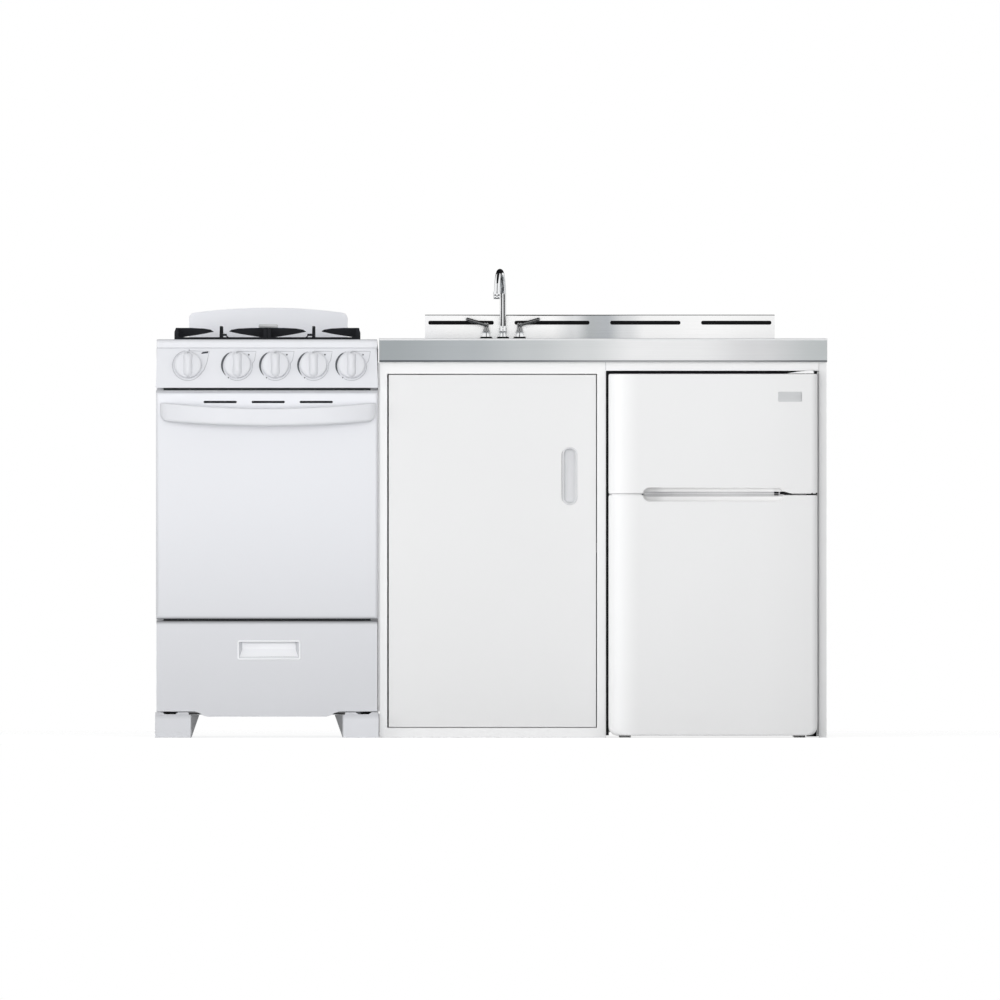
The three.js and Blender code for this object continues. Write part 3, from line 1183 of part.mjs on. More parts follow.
const FRIDGE_X0 = BAY_X0 + FRIDGE_BAY_GAP_L;
const FRIDGE_X1 = FRIDGE_X0 + FRIDGE_W;
const FRIDGE_Y0 = FACE_Y + FRIDGE_SETBACK;
const FRIDGE_Y1 = FRIDGE_Y0 + FRIDGE_D;
const FRIDGE_DOOR_Y1 = FRIDGE_Y0 - GASKET_AIR;
const FRIDGE_DOOR_Y0 = FRIDGE_DOOR_Y1 - FRIDGE_DOOR_T;
const SPLIT_Z = FRIDGE_DOOR_TOP + DOOR_SPLIT / 2;
const PIN_X = FRIDGE_X1 - HINGE_INSET;
const PIN_Y = FRIDGE_DOOR_Y0 + HINGE_PIN_BACK;
const COMPARTMENTS = {
  freezer: [SPLIT_Z + SPLIT_WALL / 2, FRIDGE_TOP - FRIDGE_WALL],
  fridge: [FRIDGE_FOOT_H + FRIDGE_WALL, SPLIT_Z - SPLIT_WALL / 2],
};

// Outer skin and inner liner, joined around the front, open at the motor bay.
function fridgeCabinet() {
  const s = FRIDGE_SKIN;
  const skin = (inset) => box(FRIDGE_X0 + inset, FRIDGE_X1 - inset, FRIDGE_Y0 + inset, FRIDGE_Y1 - inset,
    FRIDGE_FOOT_H + inset, FRIDGE_TOP - inset);
  const room = (inset, front, [z0, z1], depth) => box(FRIDGE_X0 + FRIDGE_WALL + inset,
    FRIDGE_X1 - FRIDGE_WALL - inset, front, FRIDGE_Y0 + depth - inset, z0 + inset, z1 - inset);
  const deep = FRIDGE_D - FRIDGE_WALL;
  const shallow = FRIDGE_D - MOTOR_BAY_D;
  const [low, high] = COMPARTMENTS.fridge;
  const hump = FRIDGE_FOOT_H + MOTOR_BAY_H;
  const liners = join(room(-s, FRIDGE_Y0 + s / 2, COMPARTMENTS.freezer, deep),
    room(-s, FRIDGE_Y0 + s / 2, [hump, high], deep), room(-s, FRIDGE_Y0 + s / 2, [low, high], shallow));
  const rooms = join(room(0, FRIDGE_Y0 - OVER, COMPARTMENTS.freezer, deep),
    room(0, FRIDGE_Y0 - OVER, [hump, high], deep), room(0, FRIDGE_Y0 - OVER, [low, high], shallow));
  const motorBay = box(FRIDGE_X0 + MOTOR_BAY_FRAME, FRIDGE_X1 - MOTOR_BAY_FRAME, FRIDGE_Y1 - 2 * OVER,
    FRIDGE_Y1 + OVER, FRIDGE_FOOT_H + MOTOR_BAY_FRAME, hump - MOTOR_BAY_ROOF);
  const feet = [];
  for (const x of [FRIDGE_X0 + FRIDGE_FOOT_INSET, FRIDGE_X1 - FRIDGE_FOOT_INSET]) {
    for (const y of [FRIDGE_Y0 + FRIDGE_FOOT_INSET, FRIDGE_Y1 - FRIDGE_FOOT_INSET]) {
      feet.push(rod(FRIDGE_FOOT_R, 0, FRIDGE_FOOT_H + s / 2, 10).translate(x, y, 0));
    }
  }
  return join(cut(join(cut(skin(0), skin(s)), liners), rooms, motorBay), ...feet);
}
piece(unit, 'fridge_cabinet', fridgeCabinet(), 'white');

// The bright dish of the pull, half in each door. half = -1 below the split, 1 above it.
const DISH_X1 = FRIDGE_X1 - DISH_FROM_HINGE;
const DISH_X0 = DISH_X1 - DISH_W;
function dishPart(half, grow, front, back) {
  const outline = rounded(DISH_X0 - grow, DISH_X1 + grow, SPLIT_Z - DISH_H / 2 - grow,
    SPLIT_Z + DISH_H / 2 + grow, DISH_H / 2 + grow - 0.1);
  const edge = SPLIT_Z + half * DOOR_SPLIT / 2;
  const [z0, z1] = half > 0 ? [edge, edge + DISH_H] : [edge - DISH_H, edge];
  return common(across(outline, front, back), box(DISH_X0 - DISH_H, DISH_X1 + DISH_H, front, back, z0, z1));
}

// A hollow door with rounded front edges, a pocket for its half of the pull and pin holes.
function fridgeDoor(z0, z1, half, bottomRound) {
  const s = FRIDGE_SKIN;
  const shell = (inset) => {
    const r = FRIDGE_DOOR_ROUND - inset;
    const plan = rounded(FRIDGE_X0 + inset, FRIDGE_X1 - inset,
      FRIDGE_DOOR_Y0 + inset, FRIDGE_DOOR_Y1 - inset, [r, r, 3, 3]);
    const c = bottomRound ? FRIDGE_DOOR_CORNER - inset : 3;
    const face = rounded(FRIDGE_X0 + inset, FRIDGE_X1 - inset, z0 + inset, z1 - inset, [c, c, 3, 3]);
    return common(upright(plan, z0, z1), across(face, FRIDGE_DOOR_Y0, FRIDGE_DOOR_Y1));
  };
  const back = FRIDGE_DOOR_Y0 + DISH_DEPTH;
  const pocketWall = dishPart(half, s, FRIDGE_DOOR_Y0 + s / 2, back + s);
  const pocket = dishPart(half, 0, FRIDGE_DOOR_Y0 - OVER, back);
  const pins = [rod(PIN_HOLE_R, z0 - OVER, z0 + 2 * OVER, 10), rod(PIN_HOLE_R, z1 - 2 * OVER, z1 + OVER, 10)];
  pins.forEach((pin) => pin.translate(PIN_X, PIN_Y, 0));
  return cut(join(cut(shell(0), shell(s)), pocketWall), pocket, ...pins);
}
piece(unit, 'fridge_door', fridgeDoor(FRIDGE_DOOR_BOTTOM, FRIDGE_DOOR_TOP, -1, true), 'white');
piece(unit, 'freezer_door', fridgeDoor(FREEZER_DOOR_Z, FREEZER_DOOR_TOP, 1, false), 'white');

// Half of the dish: a thin cup with a lip along the split, open to the front.
function doorPull(half) {
  const front = FRIDGE_DOOR_Y0 + 0.5;
  const cup = dishPart(half, -FIT, front, FRIDGE_DOOR_Y0 + DISH_DEPTH - FIT);
  const edge = SPLIT_Z + half * (DOOR_SPLIT / 2 + DISH_LIP);
  const [z0, z1] = half > 0 ? [edge, edge + DISH_H] : [edge - DISH_H, edge];
  const hollow = common(dishPart(half, -FIT - DISH_WALL, front - OVER, FRIDGE_DOOR_Y0 + DISH_DEPTH - DISH_WALL),
    box(DISH_X0, DISH_X1, front - 2 * OVER, FRIDGE_DOOR_Y1, z0, z1));
  return cut(cup, hollow);
}
piece(unit, 'fridge_door_pull', doorPull(-1), 'aluminium');
piece(unit, 'freezer_door_pull', doorPull(1), 'aluminium');

// Hinge plates: each reaches from the front of the refrigerator over or under a door edge.
function hinge(zPlate, pinUp, pinDown, foot) {
  const x0 = PIN_X - HINGE_PLATE_W / 2;
  const x1 = PIN_X + HINGE_INSET - 1;
  const y1 = FRIDGE_Y0 - FIT;
  const plate = upright(rounded(x0, x1, PIN_Y - 8, y1, [7, 7, 0, 0]), zPlate, zPlate + HINGE_PLATE_T);
  const parts = [plate];
  if (pinUp) parts.push(rod(PIN_R, zPlate, zPlate + HINGE_PLATE_T + PIN_L, 10).translate(PIN_X, PIN_Y, 0));
  if (pinDown) parts.push(rod(PIN_R, zPlate - PIN_L, zPlate + HINGE_PLATE_T, 10).translate(PIN_X, PIN_Y, 0));
  parts.push(foot(x0, x1, y1));
  return join(...parts);
}
const topPlateZ = FREEZER_DOOR_TOP + 0.6;
piece(unit, 'fridge_hinge_top', hinge(topPlateZ, false, true,
  (x0, x1, y1) => box(x0, x1, y1 - 1, FRIDGE_Y0 + 34, topPlateZ, topPlateZ + HINGE_PLATE_T)), 'black');
const middlePlateZ = SPLIT_Z - HINGE_PLATE_T / 2;
piece(unit, 'fridge_hinge_middle', hinge(middlePlateZ, true, true,
  (x0, x1, y1) => box(x0, x1, y1 - HINGE_PLATE_T, y1, middlePlateZ - 14, middlePlateZ + 14)), 'black');
const bottomPlateZ = FRIDGE_DOOR_BOTTOM - HINGE_PLATE_T - 0.6;
piece(unit, 'fridge_hinge_bottom', hinge(bottomPlateZ, true, false,
  (x0, x1, y1) => box(x0, x1, y1 - HINGE_PLATE_T, y1, bottomPlateZ, bottomPlateZ + 32)), 'black');

function compressor() {
  const z0 = FRIDGE_FOOT_H + FRIDGE_SKIN + FIT;
  const r = COMPRESSOR_R;
  const top = z0 + 16 + COMPRESSOR_H;
  const can = turned([[0, z0 + 14], [r - 18, z0 + 14], [r - 4, z0 + 26], [r, z0 + 50], [r, top - 50],
    [r - 6, top - 22], [r - 24, top - 4], [0, top]], 18);
  const half = COMPRESSOR_R + 28;
  const base = box(-half, half, -r + 5, r - 5, z0, z0 + 3);
  const mounts = [];
  for (const [, side] of SIDES) mounts.push(box(side * 30 - 9, side * 30 + 9, -40, 40, z0 + 2, z0 + 22));
  return join(base, can, ...mounts);
}
const motor = piece(unit, 'compressor', compressor(), 'black');
motor.position.set((FRIDGE_X0 + FRIDGE_X1) / 2 + COMPRESSOR_OFF, FRIDGE_Y1 - COMPRESSOR_R - COMPRESSOR_BACK, 0);

unit.updateMatrixWorld(true);

export default unit;
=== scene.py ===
import functools
import json
import math

import bmesh
import bpy
from bpy.props import FloatProperty, FloatVectorProperty, IntProperty, PointerProperty
from mathutils import Matrix, Vector


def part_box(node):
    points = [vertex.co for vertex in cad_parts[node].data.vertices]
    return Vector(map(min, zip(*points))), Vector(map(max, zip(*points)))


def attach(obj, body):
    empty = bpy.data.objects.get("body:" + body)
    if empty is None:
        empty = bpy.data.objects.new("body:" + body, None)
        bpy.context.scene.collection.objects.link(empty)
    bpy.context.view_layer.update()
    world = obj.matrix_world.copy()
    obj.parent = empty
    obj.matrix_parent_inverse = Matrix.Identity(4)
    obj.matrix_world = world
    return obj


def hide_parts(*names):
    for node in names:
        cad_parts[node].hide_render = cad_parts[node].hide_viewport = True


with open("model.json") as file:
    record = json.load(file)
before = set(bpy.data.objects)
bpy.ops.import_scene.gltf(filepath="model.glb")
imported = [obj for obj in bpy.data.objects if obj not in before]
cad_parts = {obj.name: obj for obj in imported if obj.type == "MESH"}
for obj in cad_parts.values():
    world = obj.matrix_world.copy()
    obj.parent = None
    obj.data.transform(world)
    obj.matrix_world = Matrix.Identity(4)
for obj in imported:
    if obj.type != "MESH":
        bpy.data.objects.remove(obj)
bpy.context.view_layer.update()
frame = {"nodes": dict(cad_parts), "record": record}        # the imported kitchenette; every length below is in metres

bl_info = {
    "name": "Kitchenette Dressing",
    "version": (1, 0, 0),
    "blender": (4, 5, 0),
    "location": "View3D > Sidebar > Kitchenette",
    "description": "Finishes and fine pieces for a range, a sink cabinet and a refrigerator",
    "category": "Object",
}

box_of = functools.cache(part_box)
MM = 0.001
BURNERS = ("front_left", "rear_left", "rear_right", "front_right")
CONTROLS = ("oven",) + BURNERS
DECK_Z = 914 * MM                    # flat upper face of the sink top
DOOR_FACE_Y = -269 * MM              # plane of the sink door's face, where the view's width is taken
SPLIT_Z = 556.9 * MM                 # middle of the gap between the refrigerator's doors
PULL_GROWTH = 2.4 * MM               # a half of the pull over its CAD height: half the gap and 1 mm
SCOOP_SHIFT = 4.6 * MM               # finger scoop, to the right of the drawer's middle
SLOT_SHIFT = 3 * MM                  # vent slots of the oven door, to the right
BELL_PITCH = 38.5 * MM               # from one bell of the faucet to the next
OWN_PLACE = 3                        # output of a texture coordinate node: the place in the piece itself


# ---------------------------------------------------------------- sizes and colours

def length(label, about, value):
    return FloatProperty(name=label, description=about, default=value, unit="LENGTH", precision=4)


def colour(label, about, value):
    return FloatVectorProperty(name=label, description=about, default=value, subtype="COLOR", min=0, max=1)


def power(label, about, value):
    return FloatProperty(name=label, description=about, default=value, subtype="POWER")


class RangeSizes(bpy.types.PropertyGroup):
    knob_radius: length("Knob radius", "Radius of a control knob", 30.6 * MM)
    knob_height: length("Knob height", "Knob from its skirt to the top of its grip", 24 * MM)
    knob_grip: length("Knob grip", "Width of the grip across a knob", 25 * MM)
    ring_radius: length("Ring radius", "Radius of the ring printed round a burner knob", 35.0 * MM)
    oven_ring: length("Oven ring", "Radius of the ring printed round the oven knob", 35.2 * MM)
    print_width: length("Print width", "Width of a printed line", 1.3 * MM)
    handle_height: length("Handle height", "Height of the oven handle", 42.5 * MM)
    leg_radius: length("Leg radius", "Radius of a levelling leg", 13 * MM)
    port_count: IntProperty(name="Flame ports", description="Ports round a burner", default=28, min=8)
    rack_wire: length("Rack wire", "Radius of the oven rack's frame wire", 3 * MM)


class SinkSizes(bpy.types.PropertyGroup):
    tube_radius: length("Spout tube", "Radius of the gooseneck", 6.8 * MM)
    bell_radius: length("Bell radius", "Radius of a faucet bell on the deck", 13 * MM)
    lever_length: length("Lever length", "Lever from its hub to its tip", 47 * MM)
    bowl_bend: length("Bowl bend", "Round between the walls and the floor of the bowl", 22 * MM)


class FridgeSizes(bpy.types.PropertyGroup):
    edge_reach: length("Edge reach", "How far the round of a door edge reaches over its face", 34 * MM)
    edge_depth: length("Edge depth", "How far a door edge falls back", 15 * MM)
    badge_width: length("Badge width", "Width of the bare plate on the freezer door", 54 * MM)
    coil_rows: IntProperty(name="Coil rows", description="Runs of the condenser tube", default=11, min=3)
    shelf_wires: IntProperty(name="Shelf wires", description="Wires of a shelf", default=17, min=3)


class Colours(bpy.types.PropertyGroup):
    enamel: colour("Range enamel", "White enamel of the range", (0.742, 0.752, 0.785))
    coating: colour("Cabinet coating", "White coating of cabinet and refrigerator", (0.815, 0.818, 0.822))
    plastic: colour("White plastic", "Knobs, feet and handle", (0.750, 0.760, 0.792))
    steel: colour("Stainless steel", "Sink top and bowl", (0.56, 0.575, 0.585))
    chrome: colour("Chrome", "Faucet and rack", (0.86, 0.87, 0.88))
    iron: colour("Cast iron", "Grates", (0.011, 0.012, 0.015))


# ---------------------------------------------------------------- node trees

class Value:
    """A socket that takes part in a sum like a number."""

    def __init__(self, tree, socket):
        self.tree = tree
        self.socket = socket

    def sum_of(self, operation, first, second):
        return self.tree.node("ShaderNodeMath", {"operation": operation}, {0: first, 1: second})

    def __add__(self, other):
        return self.sum_of("ADD", self, other)

    def __radd__(self, other):
        return self.sum_of("ADD", other, self)

    def __sub__(self, other):
        return self.sum_of("SUBTRACT", self, other)

    def __rsub__(self, other):
        return self.sum_of("SUBTRACT", other, self)

    def __mul__(self, other):
        return self.sum_of("MULTIPLY", self, other)

    def __rmul__(self, other):
        return self.sum_of("MULTIPLY", other, self)

    def __truediv__(self, other):
        return self.sum_of("DIVIDE", self, other)

    def __gt__(self, other):
        return self.sum_of("GREATER_THAN", self, other)


class Tree:
    """A node tree being made; every node of it comes from one method."""

    def __init__(self, tree):
        self.tree = tree

    def node(self, kind, settings=None, sockets=None, output=0):
        made = self.tree.nodes.new(kind)
        for name, value in (settings or {}).items():
            if name == "stops":
                self.set_stops(made.color_ramp, value)
            else:
                setattr(made, name, value)
        for key, value in (sockets or {}).items():
            if isinstance(value, Value):
                self.tree.links.new(value.socket, made.inputs[key])
            else:
                made.inputs[key].default_value = value
        if not made.outputs:
            return None
        return Value(self, made.outputs[output])

    def shown(self):
        """One where the eye, a reflection or a view through glass looks, and nothing for soft light."""
        rays = self.node("ShaderNodeLightPath")
        seen = rays.socket.node.outputs
        total = rays
        for name in ("Is Glossy Ray", "Is Transmission Ray"):
            ray = Value(self, seen[name])
            total = self.node("ShaderNodeMath", {"operation": "MAXIMUM"}, {0: total, 1: ray})
        return total

    def set_stops(self, ramp, stops):
        while len(ramp.elements) > 1:
            ramp.elements.remove(ramp.elements[-1])
        for index, (position, tone) in enumerate(stops):
            stop = ramp.elements[0] if index == 0 else ramp.elements.new(position)
            stop.position = position
            stop.color = (*tone, 1)


class Finish(Tree):
    """A material being mixed."""

    def __init__(self, name):
        self.material = bpy.data.materials.new(name)
        self.material.use_nodes = True
        super().__init__(self.material.node_tree)
        self.tree.nodes.clear()

    def place(self, stretch=(1, 1, 1)):
        spot = self.node("ShaderNodeTexCoord", output=OWN_PLACE)
        return self.node("ShaderNodeMapping", None, {"Vector": spot, "Scale": stretch})

    def noise(self, place, scale, detail=2.0, roughness=0.5):
        return self.node("ShaderNodeTexNoise", None,
                         {"Vector": place, "Scale": scale, "Detail": detail, "Roughness": roughness})

    def cells(self, place, scale, output=0):
        return self.node("ShaderNodeTexVoronoi", None, {"Vector": place, "Scale": scale}, output)

    def axis(self, index):
        spot = self.node("ShaderNodeTexCoord", output=OWN_PLACE)
        return self.node("ShaderNodeSeparateXYZ", None, {0: spot}, index)

    def climb(self, index, low, high, start):
        """A value that goes from start to 1 between two places on an axis."""
        reach = {"Value": self.axis(index), "From Min": low, "From Max": high, "To Min": start}
        return self.node("ShaderNodeMapRange", {"interpolation_type": "SMOOTHSTEP"}, reach)

    def ramp(self, factor, stops, interpolation="LINEAR"):
        made = self.node("ShaderNodeValToRGB", {"stops": stops}, {0: factor})
        made.socket.node.color_ramp.interpolation = interpolation
        return made

    def mix(self, factor, first, second):
        # A mix node has its sockets once for every kind of value; 6, 7 and output 2 are the colours'.
        return self.node("ShaderNodeMix", {"data_type": "RGBA"},
                         {0: factor, 6: as_colour(first), 7: as_colour(second)}, 2)

    def tint(self, tone, factor):
        """A colour made lighter or darker by a value round 1."""
        grey = self.node("ShaderNodeCombineXYZ", None, {0: factor, 1: factor, 2: factor})
        return self.node("ShaderNodeVectorMath", {"operation": "MULTIPLY"}, {0: as_vector(tone), 1: grey})

    def bump(self, height, rise):
        return self.node("ShaderNodeBump", None, {"Height": height, "Distance": rise, "Strength": 1.0})

    def close(self, **sockets):
        named = {key.replace("_", " ").title().replace("Ior", "IOR"): value
                 for key, value in sockets.items()}
        if not isinstance(named["Base Color"], Value):
            named["Base Color"] = as_colour(named["Base Color"])
        skin_shader = self.node("ShaderNodeBsdfPrincipled", None, named)
        self.node("ShaderNodeOutputMaterial", None, {"Surface": skin_shader})
        return self.material


def as_colour(tone):
    return tone if isinstance(tone, Value) else (*tone[:3], 1)


def as_vector(tone):
    return tone if isinstance(tone, Value) else tuple(tone[:3])


def scaled(tone, factor):
    return tuple(min(1.0, part * factor) for part in tone)


# ---------------------------------------------------------------- finishes

def enamel(name, tone, peel=0.00004, gloss=0.22, fades=()):
    """Fired enamel or baked coating: an orange-peel skin with a slow change of tone; fades add painted shade and
    painted light.
    """
    coat = Finish(name)
    place = coat.place()
    cloud = coat.noise(place, 4, 2)
    peel_height = coat.noise(place, 380, 2)
    dust = coat.noise(place, 90, 4)
    shade = 0.988 + cloud * 0.024
    # the fades paint shade and light, along one axis each
    for fade in fades:
        shade = shade * coat.climb(*fade)
    return coat.close(
        base_color=coat.tint(tone, shade),
        roughness=gloss + dust * 0.07,
        coat_weight=0.25,
        coat_roughness=0.08,
        normal=coat.bump(peel_height, peel),
    )


def moulded(name, tone, gloss=0.32, fades=()):
    """Moulded plastic with a fine spark-eroded grain; fades add painted shade and painted light."""
    coat = Finish(name)
    place = coat.place()
    grain = coat.noise(place, 1900, 2)
    cloud = coat.noise(place, 30, 3)
    shade = 0.98 + cloud * 0.04
    for fade in fades:
        # the fades paint shade and light, along one axis each
        shade = shade * coat.climb(*fade)
    return coat.close(
        base_color=coat.tint(tone, shade),
        roughness=gloss + grain * 0.12,
        normal=coat.bump(grain, 0.00003),
    )


def brushed(name, tone, stops=None, span=(0, 1), stretch=(5, 700, 700), gloss=0.24, metal=1.0):
    """Brushed steel: long fine scratches, and, with stops, a painted reflection that changes its tone along the sheet.
    """
    coat = Finish(name)
    scratches = coat.noise(coat.place(stretch), 1, 3, 0.6)
    long_marks = coat.noise(coat.place((stretch[0] / 3, stretch[1] / 5, stretch[2] / 5)), 1, 2)
    smear = coat.noise(coat.place(), 5, 3)
    shade = 0.94 + scratches * 0.08 + long_marks * 0.04
    base = coat.tint(tone, shade)
    # the stops paint a reflection along the sheet
    if stops:
        low, high = span
        along = (coat.axis(0) - low) / (high - low)
        base = coat.tint(coat.ramp(along + (smear - 0.5) * 0.03, stops, "EASE"), shade)
    return coat.close(
        base_color=base,
        metallic=metal,
        roughness=gloss + scratches * 0.1 + smear * 0.06,
        normal=coat.bump(scratches, 0.000012),
    )


def plated(name, tone):
    """Polished plating with faint wipe marks."""
    coat = Finish(name)
    place = coat.place()
    wipe = coat.noise(place, 60, 4)
    wave = coat.noise(place, 25, 1)
    return coat.close(
        base_color=coat.tint(tone, 0.97 + wipe * 0.05),
        metallic=1.0,
        roughness=0.04 + wipe * 0.07,
        normal=coat.bump(wave, 0.00004),
    )


def cast(name, tone):
    """Cast iron under matt enamel: sand grain, with worn lighter crowns."""
    coat = Finish(name)
    place = coat.place()
    sand = coat.noise(place, 620, 5, 0.65)
    pits = coat.cells(place, 260)
    wear = coat.noise(place, 45, 4)
    return coat.close(
        base_color=coat.mix(wear, scaled(tone, 0.6), scaled(tone, 1.5)),
        specular_ior_level=0.2,
        roughness=0.42 + sand * 0.25,
        normal=coat.bump(sand + pits * 0.5, 0.00022),
    )


def galvanised(name):
    """Zinc sheet with its spangle."""
    coat = Finish(name)
    place = coat.place()
    flake = coat.node("ShaderNodeSeparateColor", None, {0: coat.cells(place, 70, output=1)})
    stain = coat.noise(place, 9, 4)
    return coat.close(
        base_color=coat.tint((0.42, 0.44, 0.46), 0.85 + flake * 0.25 + stain * 0.1),
        metallic=1.0,
        roughness=0.32 + flake * 0.2,
        normal=coat.bump(flake, 0.00003),
    )


def speckled(name):
    """Dark oven enamel with pale specks."""
    coat = Finish(name)
    place = coat.place()
    speck = 1 - (coat.cells(place, 240) > 0.16)
    cloud = coat.noise(place, 12, 3)
    return coat.close(
        base_color=coat.mix(speck, coat.tint((0.030, 0.034, 0.045), 0.8 + cloud * 0.4), (0.34, 0.36, 0.40)),
        roughness=0.18 + cloud * 0.12,
        normal=coat.bump(coat.noise(place, 300, 2), 0.00005),
    )


def plain_metal(name, tone, gloss):
    """Turned or drawn metal with a fine tool grain and slight tarnish."""
    coat = Finish(name)
    place = coat.place()
    grain = coat.noise(place, 1500, 2)
    tarnish = coat.noise(place, 40, 4)
    return coat.close(
        base_color=coat.mix(tarnish, scaled(tone, 0.82), scaled(tone, 1.06)),
        metallic=1.0,
        roughness=gloss + tarnish * 0.15,
        normal=coat.bump(grain, 0.00002),
    )


def dull(name, tone, gloss=0.55, grain=900, shine=0.5):
    """Paint, rubber or ink without a shine."""
    coat = Finish(name)
    place = coat.place()
    tooth = coat.noise(place, grain, 3)
    cloud = coat.noise(place, 35, 3)
    return coat.close(
        base_color=coat.tint(tone, 0.88 + cloud * 0.24),
        specular_ior_level=shine,
        roughness=gloss + tooth * 0.15,
        normal=coat.bump(tooth, 0.00004),
    )


# Painted reflection: tone from the left end to the right end, standing for the light of a room that a brushed sheet
# reflects: the front of the sink top, the hem under it, the backsplash, and the dish and lip of the bright pull.
TOP_TONES = (
    (0.00, (0.383, 0.411, 0.425)),
    (0.20, (0.468, 0.496, 0.514)),
    (0.34, (0.575, 0.598, 0.608)),
    (0.46, (0.692, 0.709, 0.715)),
    (0.58, (0.884, 0.888, 0.893)),
    (0.70, (0.870, 0.874, 0.879)),
    (0.84, (0.711, 0.715, 0.725)),
    (1.00, (0.542, 0.570, 0.575)),
)
# painted shade and dark reflection along the hem under the front edge of the top
HEM_TONES = (
    (0.00, (0.130, 0.145, 0.155)),
    (0.30, (0.180, 0.195, 0.205)),
    (0.55, (0.360, 0.370, 0.380)),
    (0.80, (0.400, 0.410, 0.420)),
    (1.00, (0.280, 0.295, 0.305)),
)
SPLASH_TONES = (
    (0.00, (0.95, 0.95, 0.96)),
    (0.10, (0.98, 0.98, 0.98)),
    (0.36, (0.98, 0.98, 0.98)),
    (0.43, (0.74, 0.75, 0.76)),
    (0.48, (0.46, 0.48, 0.49)),
    (0.52, (0.46, 0.48, 0.50)),
    (0.57, (0.70, 0.71, 0.72)),
    (0.63, (0.90, 0.90, 0.90)),
    (0.80, (0.94, 0.94, 0.94)),
    (1.00, (0.90, 0.90, 0.90)),
)
DISH_TONES = (
    (0.00, (0.54, 0.54, 0.54)),
    (0.08, (0.60, 0.60, 0.60)),
    (0.17, (0.78, 0.78, 0.78)),
    (0.60, (0.86, 0.86, 0.86)),
    (1.00, (0.90, 0.90, 0.90)),
)
LIP_TONES = (
    (0.00, (0.38, 0.38, 0.39)),
    (0.12, (0.36, 0.36, 0.37)),
    (0.30, (0.47, 0.47, 0.48)),
    (0.55, (0.54, 0.54, 0.55)),
    (0.85, (0.50, 0.50, 0.51)),
    (1.00, (0.44, 0.44, 0.45)),
)
# Painted shade and painted light: where a coating goes darker or lighter as light falls on it; axis, from, to, and the
# tone at from; at to it is 1.
# painted shade: the range's enamel darker towards the floor
RANGE_FADES = ((2, 120 * MM, 620 * MM, 0.86),)
# painted shadow of the oven door along the top of the drawer
DRAWER_FADES = ((2, 268 * MM, 257 * MM, 0.42),)
# painted shade in the gap under the control panel, and painted light on the upper part of the oven door
DOOR_FADES = ((2, 794 * MM, 788 * MM, 0.66), (2, 786 * MM, 690 * MM, 1.06))
# painted light: the backguard lighter towards its bottom, behind the grates
BACKGUARD_FADES = ((2, 950 * MM, 1020 * MM, 1.06),)
# painted highlight along the left edge of the refrigerator doors, painted shade towards their right edge
DOOR_EDGE_FADES = ((0, 272 * MM, 345 * MM, 1.22), (0, 748 * MM, 600 * MM, 0.965))
# painted shade along the top of each foot
FOOT_FADES = ((2, 53 * MM, 40 * MM, 0.80),)
# the feet's dark plastic is lifted on their outer parts; their inner side walls keep a painted shadow
LEFT_FOOT_FADES = FOOT_FADES + ((0, -690 * MM, -685 * MM, 3.05),)
RIGHT_FOOT_FADES = FOOT_FADES + ((0, -337 * MM, -342 * MM, 3.25),)
COATING_PEEL = 50e-6
COATING_GLOSS = 0.3
PULL_GRAIN = (9, 900, 900)
FINISHES = {}


